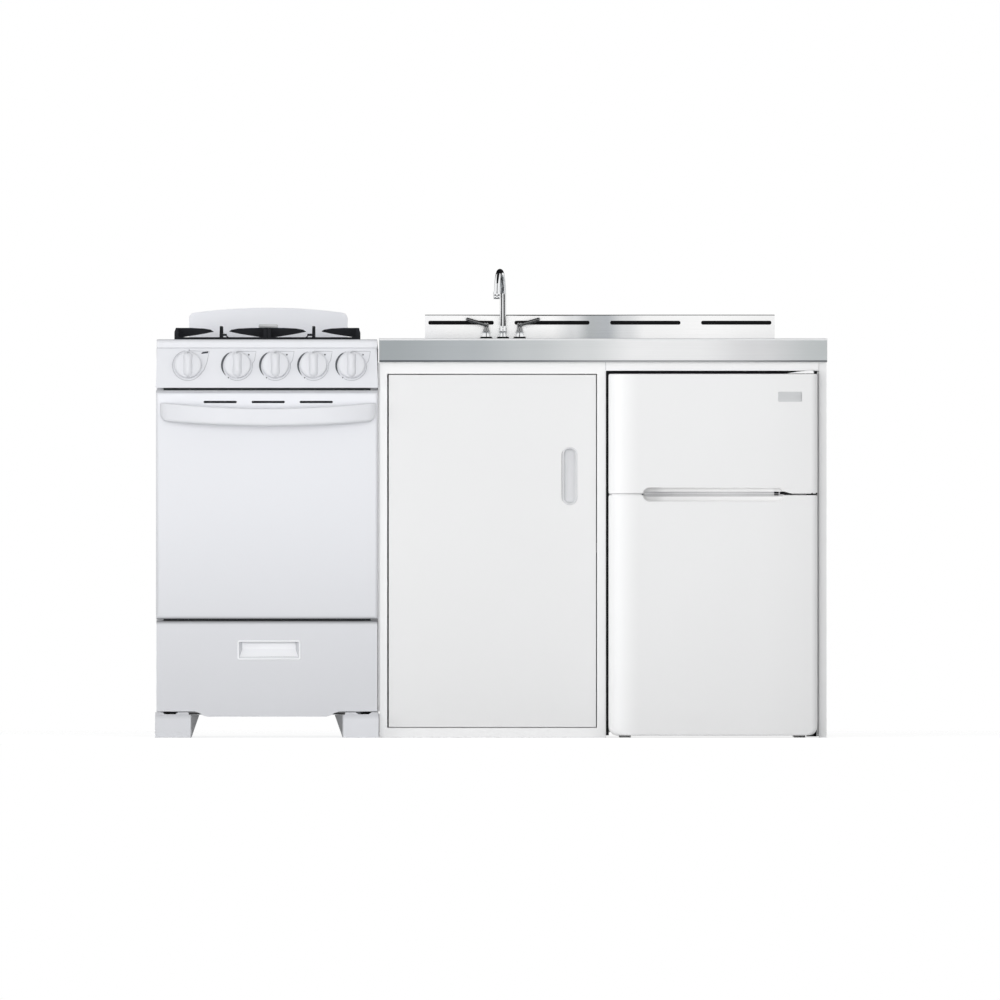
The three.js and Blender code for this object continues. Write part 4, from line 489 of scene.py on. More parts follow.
def mix_finishes(tones):
    """Makes every finish once, from the colours in the panel."""

    def coating(name, factor=1.0, fades=()):
        return enamel(name, scaled(tones.coating, factor), COATING_PEEL, COATING_GLOSS, fades)

    # plastic at a third of its tone: painted shadow, lifted back by the fades except on the inner side walls
    def foot(name, fades):
        return moulded(name, scaled(tones.plastic, 0.30), 0.4, fades)

    def sheet(name, stops, node, **marks):
        low, high = box_of(node)
        return brushed(name, tones.steel, stops, (low.x, high.x), **marks)

    FINISHES.update(
        white_enamel=enamel("White enamel", tones.enamel, fades=RANGE_FADES),
        drawer_enamel=enamel("Drawer enamel", tones.enamel, fades=RANGE_FADES + DRAWER_FADES),
        door_enamel=enamel("Oven door enamel", tones.enamel, fades=RANGE_FADES + DOOR_FADES),
        white_coating=coating("White coating"),
        # a slightly darker copy of the white coating, carrying the painted edge highlight and shade
        door_coating=coating("Door coating", 0.975, DOOR_EDGE_FADES),
        # a darker copy of the white coating: painted shade on the sink door
        sink_coating=coating("Sink door coating", 0.96),
        # a lighter copy of the white coating: painted light on the face frame and the hinge cover
        frame_coating=coating("Frame coating", 1.09),
        white_plastic=moulded("White plastic", tones.plastic),
        foot_plastic_left=foot("Left foot plastic", LEFT_FOOT_FADES),
        foot_plastic_right=foot("Right foot plastic", RIGHT_FOOT_FADES),
        frame_plastic=moulded("Frame plastic", (0.860, 0.868, 0.890)),
        # a lighter copy of the range enamel: painted light on the backguard
        backguard_enamel=enamel("Backguard enamel", scaled(tones.enamel, 1.22), fades=BACKGUARD_FADES),
        # a pale finish that paints a highlight along the top's front edge
        edge_steel=brushed("Rolled edge", (0.78, 0.79, 0.80), gloss=0.4, metal=0.1),
        grip_plastic=moulded("Grip plastic", (0.690, 0.697, 0.712)),
        galvanised=galvanised("Galvanised sheet"),
        oven_enamel=speckled("Oven enamel"),
        black_enamel=enamel("Black enamel", (0.012, 0.012, 0.014), 0.00003, 0.25),
        cast_iron=cast("Cast iron", tones.iron),
        # painted reflections along the top, the backsplash and the two halves of the pull
        top_steel=sheet("Brushed top", TOP_TONES, "countertop"),
        splash_steel=sheet("Brushed backsplash", SPLASH_TONES, "backsplash", gloss=0.05),
        stainless=brushed("Satin steel", scaled(tones.steel, 1.12), stretch=(40, 500, 500)),
        chrome=plated("Chrome", tones.chrome),
        # chrome darkened to a third: painted dark reflection on the levers
        lever_chrome=plated("Lever chrome", scaled(tones.chrome, 0.34)),
        # painted shade and dark reflection on the hem
        hem_steel=sheet("Brushed hem", HEM_TONES, "countertop"),
        silver_pull=brushed("Silver plate", (0.62, 0.63, 0.64), stretch=PULL_GRAIN, gloss=0.22),
        pull_dish=sheet("Pull dish", DISH_TONES, "freezer_door_pull",
                        stretch=PULL_GRAIN, gloss=0.3, metal=0.0),
        pull_lip=sheet("Pull lip", LIP_TONES, "freezer_door_pull",
                       stretch=PULL_GRAIN, gloss=0.3, metal=0.3),
        brass=plain_metal("Brass", (0.62, 0.46, 0.20), 0.28),
        black_steel=dull("Black paint", (0.006, 0.006, 0.007), 0.5, shine=0.12),
        rubber=dull("Grey rubber", (0.52, 0.53, 0.54), 0.6),
        braid=dull("Glass braid", (0.06, 0.06, 0.065), 0.8, 1400),
        ink=dull("Grey ink", (0.43, 0.44, 0.46), 0.5),
        dark_ink=dull("Dark ink", (0.022, 0.025, 0.035), 0.5),
        crescent_ink=dull("Crescent ink", (0.085, 0.09, 0.10), 0.5),
        ceramic=dull("Ceramic", (0.72, 0.71, 0.68), 0.3),
        aluminium=plain_metal("Bright aluminium", (0.72, 0.73, 0.74), 0.3),
        liner=enamel("Liner plastic", (0.80, 0.815, 0.82), 0.00002, 0.32),
    )


# ---------------------------------------------------------------- making meshes

def mm(*points):
    """Points written in millimetres."""
    return [tuple(part * MM for part in point) for point in points]


def mesh_of(form, name):
    """A form as a mesh; the form itself is let go."""
    mesh = bpy.data.meshes.new(name)
    form.to_mesh(mesh)
    form.free()
    return mesh


def linked(name, data):
    """A new object in the scene."""
    made = bpy.data.objects.new(name, data)
    bpy.context.scene.collection.objects.link(made)
    return made


def add_piece(name, form, finish, body, stands_for=(), sharp=38):
    """Turns a form into a finished piece that rides on a body."""
    bmesh.ops.remove_doubles(form, verts=form.verts, dist=1e-6)
    bmesh.ops.recalc_face_normals(form, faces=form.faces)
    place_mesh(name, mesh_of(form, name), finish, body, stands_for, sharp)


def place_mesh(name, mesh, finish, body, stands_for=(), sharp=38, even=False):
    """Puts a mesh on a body; even keeps the shading of broad faces flat beside their rounded edges."""
    mesh.materials.clear()
    mesh.materials.append(FINISHES[finish])
    mesh.shade_smooth()
    mesh.set_sharp_from_angle(angle=math.radians(sharp))
    piece = linked(name, mesh)
    if even:
        weighted = piece.modifiers.new("Even shading", "WEIGHTED_NORMAL")
        weighted.keep_sharp = True
        piece.data = settled(piece)
        piece.modifiers.clear()
    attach(piece, body)
    if stands_for:
        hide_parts(*stands_for)


def settled(source):
    """The plain mesh that an object's modifiers give."""
    bpy.context.view_layer.update()
    ready = source.evaluated_get(bpy.context.evaluated_depsgraph_get())
    return bpy.data.meshes.new_from_object(ready)


def cut(form, tool):
    """The mesh that is left of a form once a tool has been cut out of it."""
    shapes = []
    for name, part in (("whole", form), ("tool", tool)):
        bmesh.ops.recalc_face_normals(part, faces=part.faces)
        shapes.append(linked(name, mesh_of(part, name)))
    modifier = shapes[0].modifiers.new("Cut", "BOOLEAN")
    modifier.operation = "DIFFERENCE"
    modifier.solver = "EXACT"
    modifier.object = shapes[1]
    mesh = settled(shapes[0])
    for shape in shapes:
        bpy.data.objects.remove(shape)
    return mesh


def body_of_node(node):
    for body, nodes in frame["record"]["behaviour"]["bodies"].items():
        if node in nodes:
            return body
    raise RuntimeError("no body holds " + node)


def softened(node, finish, width, steps=2, sharp=38, crest=0.0, lift=0.0, reshape=None):
    """The CAD piece itself, merged, with its edges taken off.

    crest rounds the upper front edge more, lift raises the top, and reshape moves single corners.
    """
    form = bmesh.new()
    form.from_mesh(frame["nodes"][node].data)
    bmesh.ops.remove_doubles(form, verts=form.verts, dist=4e-6)
    bmesh.ops.dissolve_limit(form, angle_limit=math.radians(0.5), verts=form.verts, edges=form.edges)
    top = max(vertex.co.z for vertex in form.verts)
    for vertex in form.verts:
        if vertex.co.z > top - 0.1 * MM:
            vertex.co.z += lift
        if reshape:
            reshape(vertex.co)
    if crest > 0:
        round_crest(form, crest, top + lift)
    ridges = [edge for edge in form.edges
              if len(edge.link_faces) == 2 and edge.calc_face_angle(0) > math.radians(sharp)]
    take_off(form, width, steps, ridges)
    mesh = mesh_of(form, node + "_fine")
    place_mesh(node + "_fine", mesh, finish, body_of_node(node), (node,), sharp, True)


def take_off(form, width, steps, edges):
    """Rounds edges of a form."""
    bmesh.ops.bevel(form, geom=edges, offset=width, offset_type="OFFSET", segments=steps,
                    profile=0.5, affect="EDGES", clamp_overlap=True)


def round_crest(form, crest, top):
    """Rounds the upper front edge of a form, row by row."""
    front = min(vertex.co.y for vertex in form.verts)
    start = top - crest
    for step in range(9):
        height = start + crest * math.sin(math.radians(10 * step))
        geometry = list(form.verts) + list(form.edges) + list(form.faces)
        bmesh.ops.bisect_plane(form, geom=geometry, dist=1e-6, plane_co=(0, 0, height), plane_no=(0, 0, 1))
    for vertex in form.verts:
        share = min(1.0, (vertex.co.z - start) / crest)
        if share > 0:
            vertex.co.y = max(vertex.co.y, front + crest * (1 - math.sqrt(1 - share ** 2)))


def skin(form, rings, closed=True):
    """A skin over rings of points, one ring after the other."""
    rows = [[form.verts.new(point) for point in ring] for ring in rings]
    count = len(rows[0])
    for low, high in zip(rows, rows[1:]):
        for index in range(count):
            after = (index + 1) % count
            form.faces.new((low[index], low[after], high[after], high[index]))
    if closed:
        form.faces.new(list(reversed(rows[0])))
        form.faces.new(rows[-1])
    return rows


def circle(place, radius, height, steps):
    """Points round the Z axis of a place."""
    angles = [2 * math.pi * index / steps for index in range(steps)]
    return [place @ Vector((radius * math.cos(angle), radius * math.sin(angle), height)) for angle in angles]


def arc(radius, start, stop, steps):
    """Points on a circle from one angle to another, in degrees."""
    angles = [math.radians(start + (stop - start) * step / steps) for step in range(steps + 1)]
    return [(radius * math.cos(angle), radius * math.sin(angle)) for angle in angles]


def turned(form, profile, place, steps):
    """A profile of (radius, height) pairs turned about the Z axis of a place."""
    skin(form, [circle(place, max(radius, 1e-7), height, steps) for radius, height in profile])


def turned_ring(form, profile, place, steps):
    """A closed profile turned about the Z axis of a place."""
    rings = []
    for index in range(steps):
        angle = 2 * math.pi * index / steps
        rings.append([place @ Vector((radius * math.cos(angle), radius * math.sin(angle), height))
                      for radius, height in profile])
    skin(form, rings + rings[:1], closed=False)


def swept(form, points, radius, sides=16):
    """A round tube along points; the radius may change from point to point."""
    points = [Vector(point) for point in points]
    radii = radius if isinstance(radius, (list, tuple)) else [radius] * len(points)
    tangents = []
    for index, point in enumerate(points):
        before = points[max(index - 1, 0)]
        after = points[min(index + 1, len(points) - 1)]
        tangents.append((after - before).normalized())
    across = tangents[0].orthogonal().normalized()
    rings = []
    for point, tangent, size in zip(points, tangents, radii):
        across = (across - tangent * across.dot(tangent)).normalized()
        other = tangent.cross(across)
        rings.append([point + size * (across * math.cos(2 * math.pi * index / sides)
                                      + other * math.sin(2 * math.pi * index / sides))
                      for index in range(sides)])
    skin(form, rings)


def rounded(x0, x1, y0, y1, radius, steps=8):
    """A rectangle with round corners, anticlockwise; radius may be one number or four."""
    radii = radius if isinstance(radius, (list, tuple)) else [radius] * 4
    centres = ((x0 + radii[0], y0 + radii[0], 180), (x1 - radii[1], y0 + radii[1], 270),
               (x1 - radii[2], y1 - radii[2], 0), (x0 + radii[3], y1 - radii[3], 90))
    outline = []
    for (x, y, start), size in zip(centres, radii):
        count = steps if size > 0 else 0
        for index in range(count + 1):
            angle = math.radians(start + 90 * index / max(count, 1))
            outline.append((x + size * math.cos(angle), y + size * math.sin(angle)))
    return outline


# Places that set an outline upright: drawn as seen from the front, or as seen from the side.
FROM_FRONT = Matrix(((1, 0, 0, 0), (0, 0, 1, 0), (0, 1, 0, 0), (0, 0, 0, 1)))
FROM_SIDE = Matrix(((0, 0, 1, 0), (1, 0, 0, 0), (0, 1, 0, 0), (0, 0, 0, 1)))


def prism(form, outline, start, end, place, soften=0, steps=3, ends=(True, True)):
    """An outline in the plane of a place, filled from start to end, its rims taken off."""
    rings = [[place @ Vector((u, v, height)) for u, v in outline] for height in (start, end)]
    rows = skin(form, rings)
    if soften > 0:
        rims = []
        for row, wanted in zip(rows, ends):
            if wanted:
                rims += [form.edges.get((row[index], row[index - 1])) for index in range(len(row))]
        take_off(form, soften, steps, [edge for edge in rims if edge])


def block(form, low, high, soften, steps=2):
    """A block between two corners with every edge taken off."""
    made = bmesh.ops.create_cube(form, size=1)["verts"]
    span = [end - start for start, end in zip(low, high)]
    for vertex in made:
        vertex.co = Vector(low[axis] + (vertex.co[axis] + 0.5) * span[axis] for axis in range(3))
    take_off(form, soften, steps, list({edge for vertex in made for edge in vertex.link_edges}))


# ---------------------------------------------------------------- what repeats or follows a path

class Growth(Tree):
    """A Geometry Nodes tree being made, with its named sizes."""

    KINDS = {int: "NodeSocketInt", float: "NodeSocketFloat", tuple: "NodeSocketVector"}

    def __init__(self, name, sizes):
        super().__init__(bpy.data.node_groups.new(name, "GeometryNodeTree"))
        face = self.tree.interface
        face.new_socket("Geometry", in_out="INPUT", socket_type="NodeSocketGeometry")
        for label, value in sizes.items():
            socket = face.new_socket(label, in_out="INPUT", socket_type=self.KINDS[type(value)])
            socket.default_value = value
        face.new_socket("Finish", in_out="INPUT", socket_type="NodeSocketMaterial")
        face.new_socket("Geometry", in_out="OUTPUT", socket_type="NodeSocketGeometry")
        start = self.tree.nodes.new("NodeGroupInput")
        self.given = {socket.name: Value(self, socket) for socket in start.outputs if socket.name}

    def close(self, geometry):
        real = self.node("GeometryNodeRealizeInstances", None, {0: geometry})
        coat = {"Geometry": real, "Material": self.given["Finish"]}
        painted = self.node("GeometryNodeSetMaterial", None, coat)
        self.node("NodeGroupOutput", None, {0: painted})
        return self.tree


def wire_tree():
    """A round wire along every chain of edges."""
    growth = Growth("Wire along a path", {"Radius": 0.001, "Sides": 10})
    path = growth.node("GeometryNodeMeshToCurve", None, {0: growth.given["Geometry"]})
    ring = growth.node("GeometryNodeCurvePrimitiveCircle", None,
                       {"Resolution": growth.given["Sides"], "Radius": growth.given["Radius"]})
    wire = growth.node("GeometryNodeCurveToMesh", None,
                       {"Curve": path, "Profile Curve": ring, "Fill Caps": True})
    return growth.close(wire)


def row_tree():
    """Domed heads in a row, turned to face one way."""
    growth = Growth("Row of heads", {"Count": 4, "First": (0.0, 0.0, 0.0), "Pitch": (0.1, 0.0, 0.0),
                                     "Facing": (0.0, 0.0, 0.0), "Radius": 0.004, "Height": 0.002})
    given = growth.given
    line = growth.node("GeometryNodeMeshLine", {"mode": "OFFSET"},
                       {"Count": given["Count"], "Start Location": given["First"], "Offset": given["Pitch"]})
    washer = growth.node("GeometryNodeMeshCylinder", None,
                         {"Vertices": 20, "Radius": given["Radius"], "Depth": given["Height"] * 0.5})
    ball = given["Radius"] * 0.78
    dome = growth.node("GeometryNodeMeshUVSphere", None, {"Segments": 20, "Rings": 10, "Radius": ball})
    flat = growth.node("ShaderNodeCombineXYZ", None, {0: 1.0, 1: 1.0, 2: given["Height"] / ball})
    cap = growth.node("GeometryNodeTransform", None, {"Geometry": dome, "Scale": flat})
    head = growth.node("GeometryNodeJoinGeometry", None, {0: cap})
    growth.tree.links.new(washer.socket, head.socket.node.inputs[0])
    heads = growth.node("GeometryNodeInstanceOnPoints", None,
                        {"Points": line, "Instance": head, "Rotation": given["Facing"]})
    return growth.close(heads)


def ring_tree():
    """Small blocks round a circle, as the flame ports of a burner."""
    growth = Growth("Blocks round a circle", {"Count": 28, "Centre": (0.0, 0.0, 0.0), "Radius": 0.03,
                                              "Block": (0.002, 0.001, 0.004)})
    given = growth.given
    circle = growth.node("GeometryNodeMeshCircle", None,
                         {"Vertices": given["Count"], "Radius": given["Radius"]})
    spots = growth.node("GeometryNodeSetPosition", None, {"Geometry": circle, "Offset": given["Centre"]})
    small = growth.node("GeometryNodeMeshCube", None, {"Size": given["Block"]})
    number = growth.node("GeometryNodeInputIndex")
    share = number / given["Count"]
    turn = growth.node("ShaderNodeCombineXYZ", None, {0: 0.0, 1: 0.0, 2: share * (2 * math.pi)})
    blocks = growth.node("GeometryNodeInstanceOnPoints", None,
                         {"Points": spots, "Instance": small, "Rotation": turn})
    return growth.close(blocks)


def holes_tree():
    """Every face of a sheet opened by a smaller hole."""
    growth = Growth("Perforated sheet", {"Open share": 0.5})
    grown = growth.node("GeometryNodeExtrudeMesh", {"mode": "FACES"},
                        {"Mesh": growth.given["Geometry"], "Offset Scale": 0.0, "Individual": True})
    top = Value(growth, grown.socket.node.outputs["Top"])
    drawn = growth.node("GeometryNodeScaleElements", None,
                        {"Geometry": grown, "Selection": top, "Scale": growth.given["Open share"]})
    opened = growth.node("GeometryNodeDeleteGeometry", {"domain": "FACE"},
                         {"Geometry": drawn, "Selection": top})
    return growth.close(opened)


TREES = {}


def grown(name, tree, form, finish, body, slot, stands_for=(), sizes=(), modifiers=()):
    """Runs a tree on a form and keeps the result as a plain mesh."""
    source = linked(name + "_source", mesh_of(form, name + "_path"))
    if tree not in TREES:
        TREES[tree] = tree()
    modifier = source.modifiers.new("Growth", "NODES")
    modifier.node_group = TREES[tree]
    wanted = dict(sizes, Finish=FINISHES[finish])
    for item in TREES[tree].interface.items_tree:
        if item.in_out == "INPUT" and item.name in wanted:
            modifier[item.identifier] = wanted[item.name]
    for kind, settings in modifiers:
        extra = source.modifiers.new(kind.title(), kind)
        for key, value in settings.items():
            setattr(extra, key, value)
    result = settled(source)
    bpy.data.objects.remove(source)
    result.name = name
    place_mesh(name, result, finish, body, stands_for)


def chains(*paths):
    """A form that holds only chains of edges."""
    form = bmesh.new()
    for path in paths:
        spots = [form.verts.new(point) for point in path]
        for first, second in zip(spots, spots[1:]):
            form.edges.new((first, second))
    return form


def middle(node):
    low, high = box_of(node)
    return (low + high) / 2


# ---------------------------------------------------------------- range

PLAIN_NODES = {
    "white_enamel": ("range_side_left", "range_side_right"),
    "galvanised": ("range_rear_panel", "range_base", "drawer_tray", "cabinet_back", "oven_burner"),
    "oven_enamel": ("oven_liner", "oven_door_liner"),
    "brass": ("gas_manifold",) + tuple("valve_stem_" + name for name in CONTROLS),
    "white_coating": ("cabinet_side_left", "cabinet_side_right", "cabinet_partition", "cabinet_floor",
                      "fridge_cabinet"),
    "chrome": ("sink_drain",),
    "black_steel": ("fridge_hinge_top", "fridge_hinge_middle", "fridge_hinge_bottom", "compressor"),
}


class KITCHENETTE_OT_plain_pieces(bpy.types.Operator):
    """Mixes the finishes and gives the pieces that keep their CAD shape theirs"""
    bl_idname = "kitchenette.plain_pieces"
    bl_label = "Plain pieces"

    def execute(self, context):
        mix_finishes(context.scene.kitchenette_colours)
        for finish, nodes in PLAIN_NODES.items():
            for node in nodes:
                piece = frame["nodes"][node]
                piece.data.materials.clear()
                piece.data.materials.append(FINISHES[finish])
        return {"FINISHED"}


class KITCHENETTE_OT_range_body(bpy.types.Operator):
    """Cooktop, control panel, backguard, feet and drawer front with their edges taken off"""
    bl_idname = "kitchenette.range_body"
    bl_label = "Range body"

    def execute(self, context):
        sizes = context.scene.kitchenette_range
        softened("cooktop", "white_enamel", 0.3 * MM, reshape=self.taper)
        softened("control_panel", "white_enamel", 0.3 * MM)
        softened("backguard", "backguard_enamel", 1.2 * MM)
        softened("drawer_front", "drawer_enamel", 0.5 * MM, crest=11 * MM, lift=1.1 * MM,
                 reshape=self.shift_scoop)
        self.scoop_insert()
        for side, way in (("left", 1), ("right", -1)):
            softened("range_foot_" + side, "foot_plastic_" + side, 1.0 * MM, 3)
            self.foot_lip(side, way)
            self.levelling_leg(side, sizes)
        self.badge_plate()
        self.rear_screws()
        return {"FINISHED"}

    def taper(self, spot):
        """Draws the upper corners of the cooktop's ends in."""
        low, high = box_of("cooktop")
        if spot.z > high.z - 0.2 * MM:
            if spot.x < low.x + 8 * MM:
                spot.x += 5 * MM
            elif spot.x > high.x - 8 * MM:
                spot.x -= 2 * MM

    def shift_scoop(self, spot):
        """Sets the finger scoop a little to the right."""
        low, high = box_of("drawer_front")
        if low.z + 110 * MM < spot.z < high.z - 30 * MM and abs(spot.x - middle("drawer_front").x) < 90 * MM:
            spot.x += SCOOP_SHIFT

    def scoop_insert(self):
        """The pale frame round the finger scoop of the drawer, and its sloping floor."""
        low, high = box_of("drawer_front")
        centre = (low.x + high.x) / 2 + SCOOP_SHIFT
        face = low.y
        left, right = centre - 68.4 * MM, centre + 68.4 * MM
        bottom, top = high.z - 84.7 * MM, high.z - 47.5 * MM
        border = ((3.6, 0.2), (3.6, -0.6), (3.1, -1.1), (0.4, -1.1), (0.1, -0.6), (0.1, 0.8), (3.6, 0.2))
        rings = []
        for grow, depth in border:
            size = grow * MM
            outline = rounded(left - size, right + size, bottom - size, top + size, 1.2 * MM + size, 5)
            rings.append([Vector((x, face + depth * MM, z)) for x, z in outline])
        form = bmesh.new()
        skin(form, rings, closed=False)
        deep = 13.5 * MM
        half = 68.0 * MM
        waist = bottom + 20.6 * MM
        slope = ((0.4 * MM, bottom + 0.4 * MM), (deep, waist), (deep, top - 0.3 * MM),
                 (deep + 0.4 * MM, top - 0.3 * MM), (deep + 0.4 * MM, waist - 0.3 * MM),
                 (1.0 * MM, bottom + 0.4 * MM))
        ends = []
        for way in (-1, 1):
            ends.append([Vector((centre + way * (half - depth / 2), face + depth, z)) for depth, z in slope])
        skin(form, ends)
        add_piece("drawer_scoop_insert", form, "frame_plastic", "drawer", sharp=30)

    def foot_lip(self, side, way):
        """The upper lip of a foot, open in the middle over the levelling leg."""
        low, high = box_of("range_foot_" + side)
        outer = low.x if way > 0 else high.x
        base = high.z - 3 * MM
        top = high.z + 6.2 * MM
        sill = high.z + 0.8 * MM
        steps = ((0.6, base), (78.5, base), (76.5, top), (52.5, top), (46.5, sill), (22.5, sill),
                 (16.5, top), (0.6, top))
        outline = [(outer + way * along * MM, z) for along, z in steps]
        if way < 0:
            outline.reverse()
        form = bmesh.new()
        prism(form, outline, low.y + 7 * MM, low.y + 13.5 * MM, FROM_FRONT, 0.8 * MM, 2, (True, False))
        add_piece("range_foot_lip_" + side, form, "foot_plastic_" + side, "unit")

    def levelling_leg(self, side, sizes):
        """The hexagonal head of a levelling leg, above its foot."""
        low, high = box_of("range_foot_" + side)
        outer = low.x + 34.5 * MM if side == "left" else high.x - 29.5 * MM
        radius = sizes.leg_radius
        leg_y = -262 * MM
        form = bmesh.new()
        place = Matrix.Translation((outer, leg_y, high.z + 0.2 * MM))
        profile = ((0, 0), (radius * 0.55, 0), (radius, 4.2 * MM), (radius, 5.8 * MM), (0, 6 * MM))
        turned(form, profile, place, 6)
        add_piece("levelling_leg_" + side, form, "black_steel", "unit", sharp=20)

    def badge_plate(self):
        """The bare plate in the middle of the backguard."""
        low, high = box_of("backguard")
        centre = (low.x + high.x) / 2
        face = low.y
        form = bmesh.new()
        outline = rounded(centre - 22 * MM, centre + 22 * MM, 936 * MM, 949 * MM, 3 * MM, 4)
        prism(form, outline, face - 0.9 * MM, face, FROM_FRONT, 0.35 * MM, 2, (True, False))
        add_piece("backguard_plate", form, "silver_pull", "unit")

    def rear_screws(self):
        """A row of screws down each side of the rear panel."""
        low, high = box_of("range_rear_panel")
        for label, x in (("left", low.x + 7 * MM), ("right", high.x - 7 * MM)):
            grown("rear_screws_" + label, row_tree, bmesh.new(), "galvanised", "unit", "galvanised", sizes={
                "Count": 5, "First": (x, high.y + 0.2 * MM, low.z + 40 * MM), "Pitch": (0.0, 0.0, 180 * MM),
                "Facing": (math.radians(-90), 0.0, 0.0), "Radius": 4.2 * MM, "Height": 1.2 * MM})


def panel_place(control):
    """A place on the slanted panel face, its Z axis straight out at one knob."""
    foot_y, slant, rise = -290 * MM, 20 * MM, 91.6 * MM
    lean = math.atan2(slant, rise)
    up = 51 * MM
    x = middle("knob_" + control).x
    z = box_of("control_panel")[0].z + up
    spot = Vector((x, foot_y + up * math.tan(lean), z))
    return Matrix.Translation(spot) @ Matrix.Rotation(math.pi / 2 - lean, 4, "X")


class KITCHENETTE_OT_knobs(bpy.types.Operator):
    """Five control knobs and the marks printed round them"""
    bl_idname = "kitchenette.knobs"
    bl_label = "Knobs and marks"

    def execute(self, context):
        sizes = context.scene.kitchenette_range
        for control in CONTROLS:
            self.knob(control, sizes)
            if control == "oven":
                self.oven_marks(sizes)
            else:
                self.burner_marks(control, sizes)
        return {"FINISHED"}

    def knob(self, control, sizes):
        """One knob: a round skirt, the grip across it, and a pointer mark on the skirt."""
        place = panel_place(control)
        radius = sizes.knob_radius
        foot = 4.5 * MM
        face = foot + sizes.knob_height * 0.4
        top = foot + sizes.knob_height
        profile = [(0, foot), (radius - 1.2 * MM, foot), (radius, foot + 0.8 * MM),
                   (radius, face - 3.2 * MM)]
        for inward, up in mm((0.5, -1.7), (1.8, -0.5), (4, 0.5), (9, 2)):
            profile.append((radius - inward, face + up))
        profile += [(radius * 0.4, face + 2.9 * MM), (0, face + 3.2 * MM)]
        form = bmesh.new()
        turned(form, profile, place, 72)
        rings = []
        reach = radius - 1.4 * MM
        count = 28
        for index in range(count + 1):
            share = -1 + 2 * index / count
            share = math.copysign(abs(share) ** 0.75, share)
            height = (top - face + 3 * MM) * (1 - 0.62 * abs(share) ** 3.2)
            width = sizes.knob_grip * (0.42 + 0.06 * share ** 2)
            width *= max(0.25, (1 - abs(share) ** 9))
            base = face - 3 * MM
            ring = []
            for step in range(13):
                angle = math.pi * step / 12
                lift = math.sin(angle) ** 0.8 if 0 < step < 12 else 0
                ring.append(place @ Vector((width * math.cos(angle), share * reach, base + height * lift)))
            rings.append(ring)
        skin(form, rings)
        add_piece("knob_" + control + "_fine", form, "white_plastic", "knob_" + control,
                  ("knob_" + control,), 50)
        mark = bmesh.new()
        prism(mark, rounded(-2.6 * MM, 2.6 * MM, radius - 7.4 * MM, radius - 2.6 * MM, 1.6 * MM, 4),
              top - 12 * MM, top - 5.0 * MM, place, 0.3 * MM, 1)
        add_piece("knob_pointer_" + control, mark, "ink", "knob_" + control)

    def printed(self, name, place, paths, width, finish="ink"):
        """Lines printed on the panel round one knob."""
        raised = [[place @ Vector((u, v, 0.0)) for u, v in path] for path in paths]
        grown(name, wire_tree, chains(*raised), finish, "unit", "white_enamel",
              sizes={"Radius": width / 2, "Sides": 8})

    def oven_marks(self, sizes):
        """The open ring of the oven knob with its tail, a heat mark and the zero tick."""
        place = panel_place("oven")
        ring = arc(sizes.oven_ring, 100, 322, 60)
        tail = ring[-1:] + mm((38, -9), (43.5, 7), (49, 33.5), (4, 34.5))
        self.printed("oven_ring_print", place, [ring, tail], sizes.print_width)
        bars = [mm((31, 28.6), (46, 30.4)), mm((33, 30.4), (46.6, 32))]
        self.printed("oven_mark_print", place, bars, 2.4 * MM, "dark_ink")
        self.printed("oven_tick_print", place, [mm((3, 34.5), (3.4, 38.0))], 2.6 * MM)

    def burner_marks(self, control, sizes):
        """The ring of a burner knob, the crescent that shows high to low, and two dots."""
        place = panel_place(control)
        ring = sizes.ring_radius
        round_edge = arc(ring, -118, 8, 40)
        flag = round_edge[-1:] + mm((39.5, 12), (43.2, 33.2), (2, 33.6))
        short_edge = arc(ring, 112, 124, 8)
        self.printed("ring_print_" + control, place, [round_edge, flag, short_edge], sizes.print_width)
        form = bmesh.new()
        below, above = -0.2 * MM, 0.25 * MM
        rings = []
        for step in range(41):
            share = step / 40
            angle = math.radians(118 + 104 * share)
            half = 0.3 * MM
            if 0 < share < 1:
                half += 2.1 * MM * math.sin(math.pi * min(1, share * 1.02) ** 0.9) ** 0.8
            spots = ((ring - half, below), (ring + half, below), (ring + half, above), (ring - half, above))
            rings.append([place @ Vector((r * math.cos(angle), r * math.sin(angle), h)) for r, h in spots])
        skin(form, rings)
        for u, v, size in mm((26.5, 25.5, 1.8), (-20, -28.5, 1.5)):
            dot = rounded(u - size, u + size, v - size, v + size, size * 0.95, 6)
            prism(form, dot, below, 0.3 * MM, place)
        add_piece("crescent_print_" + control, form, "crescent_ink", "unit")


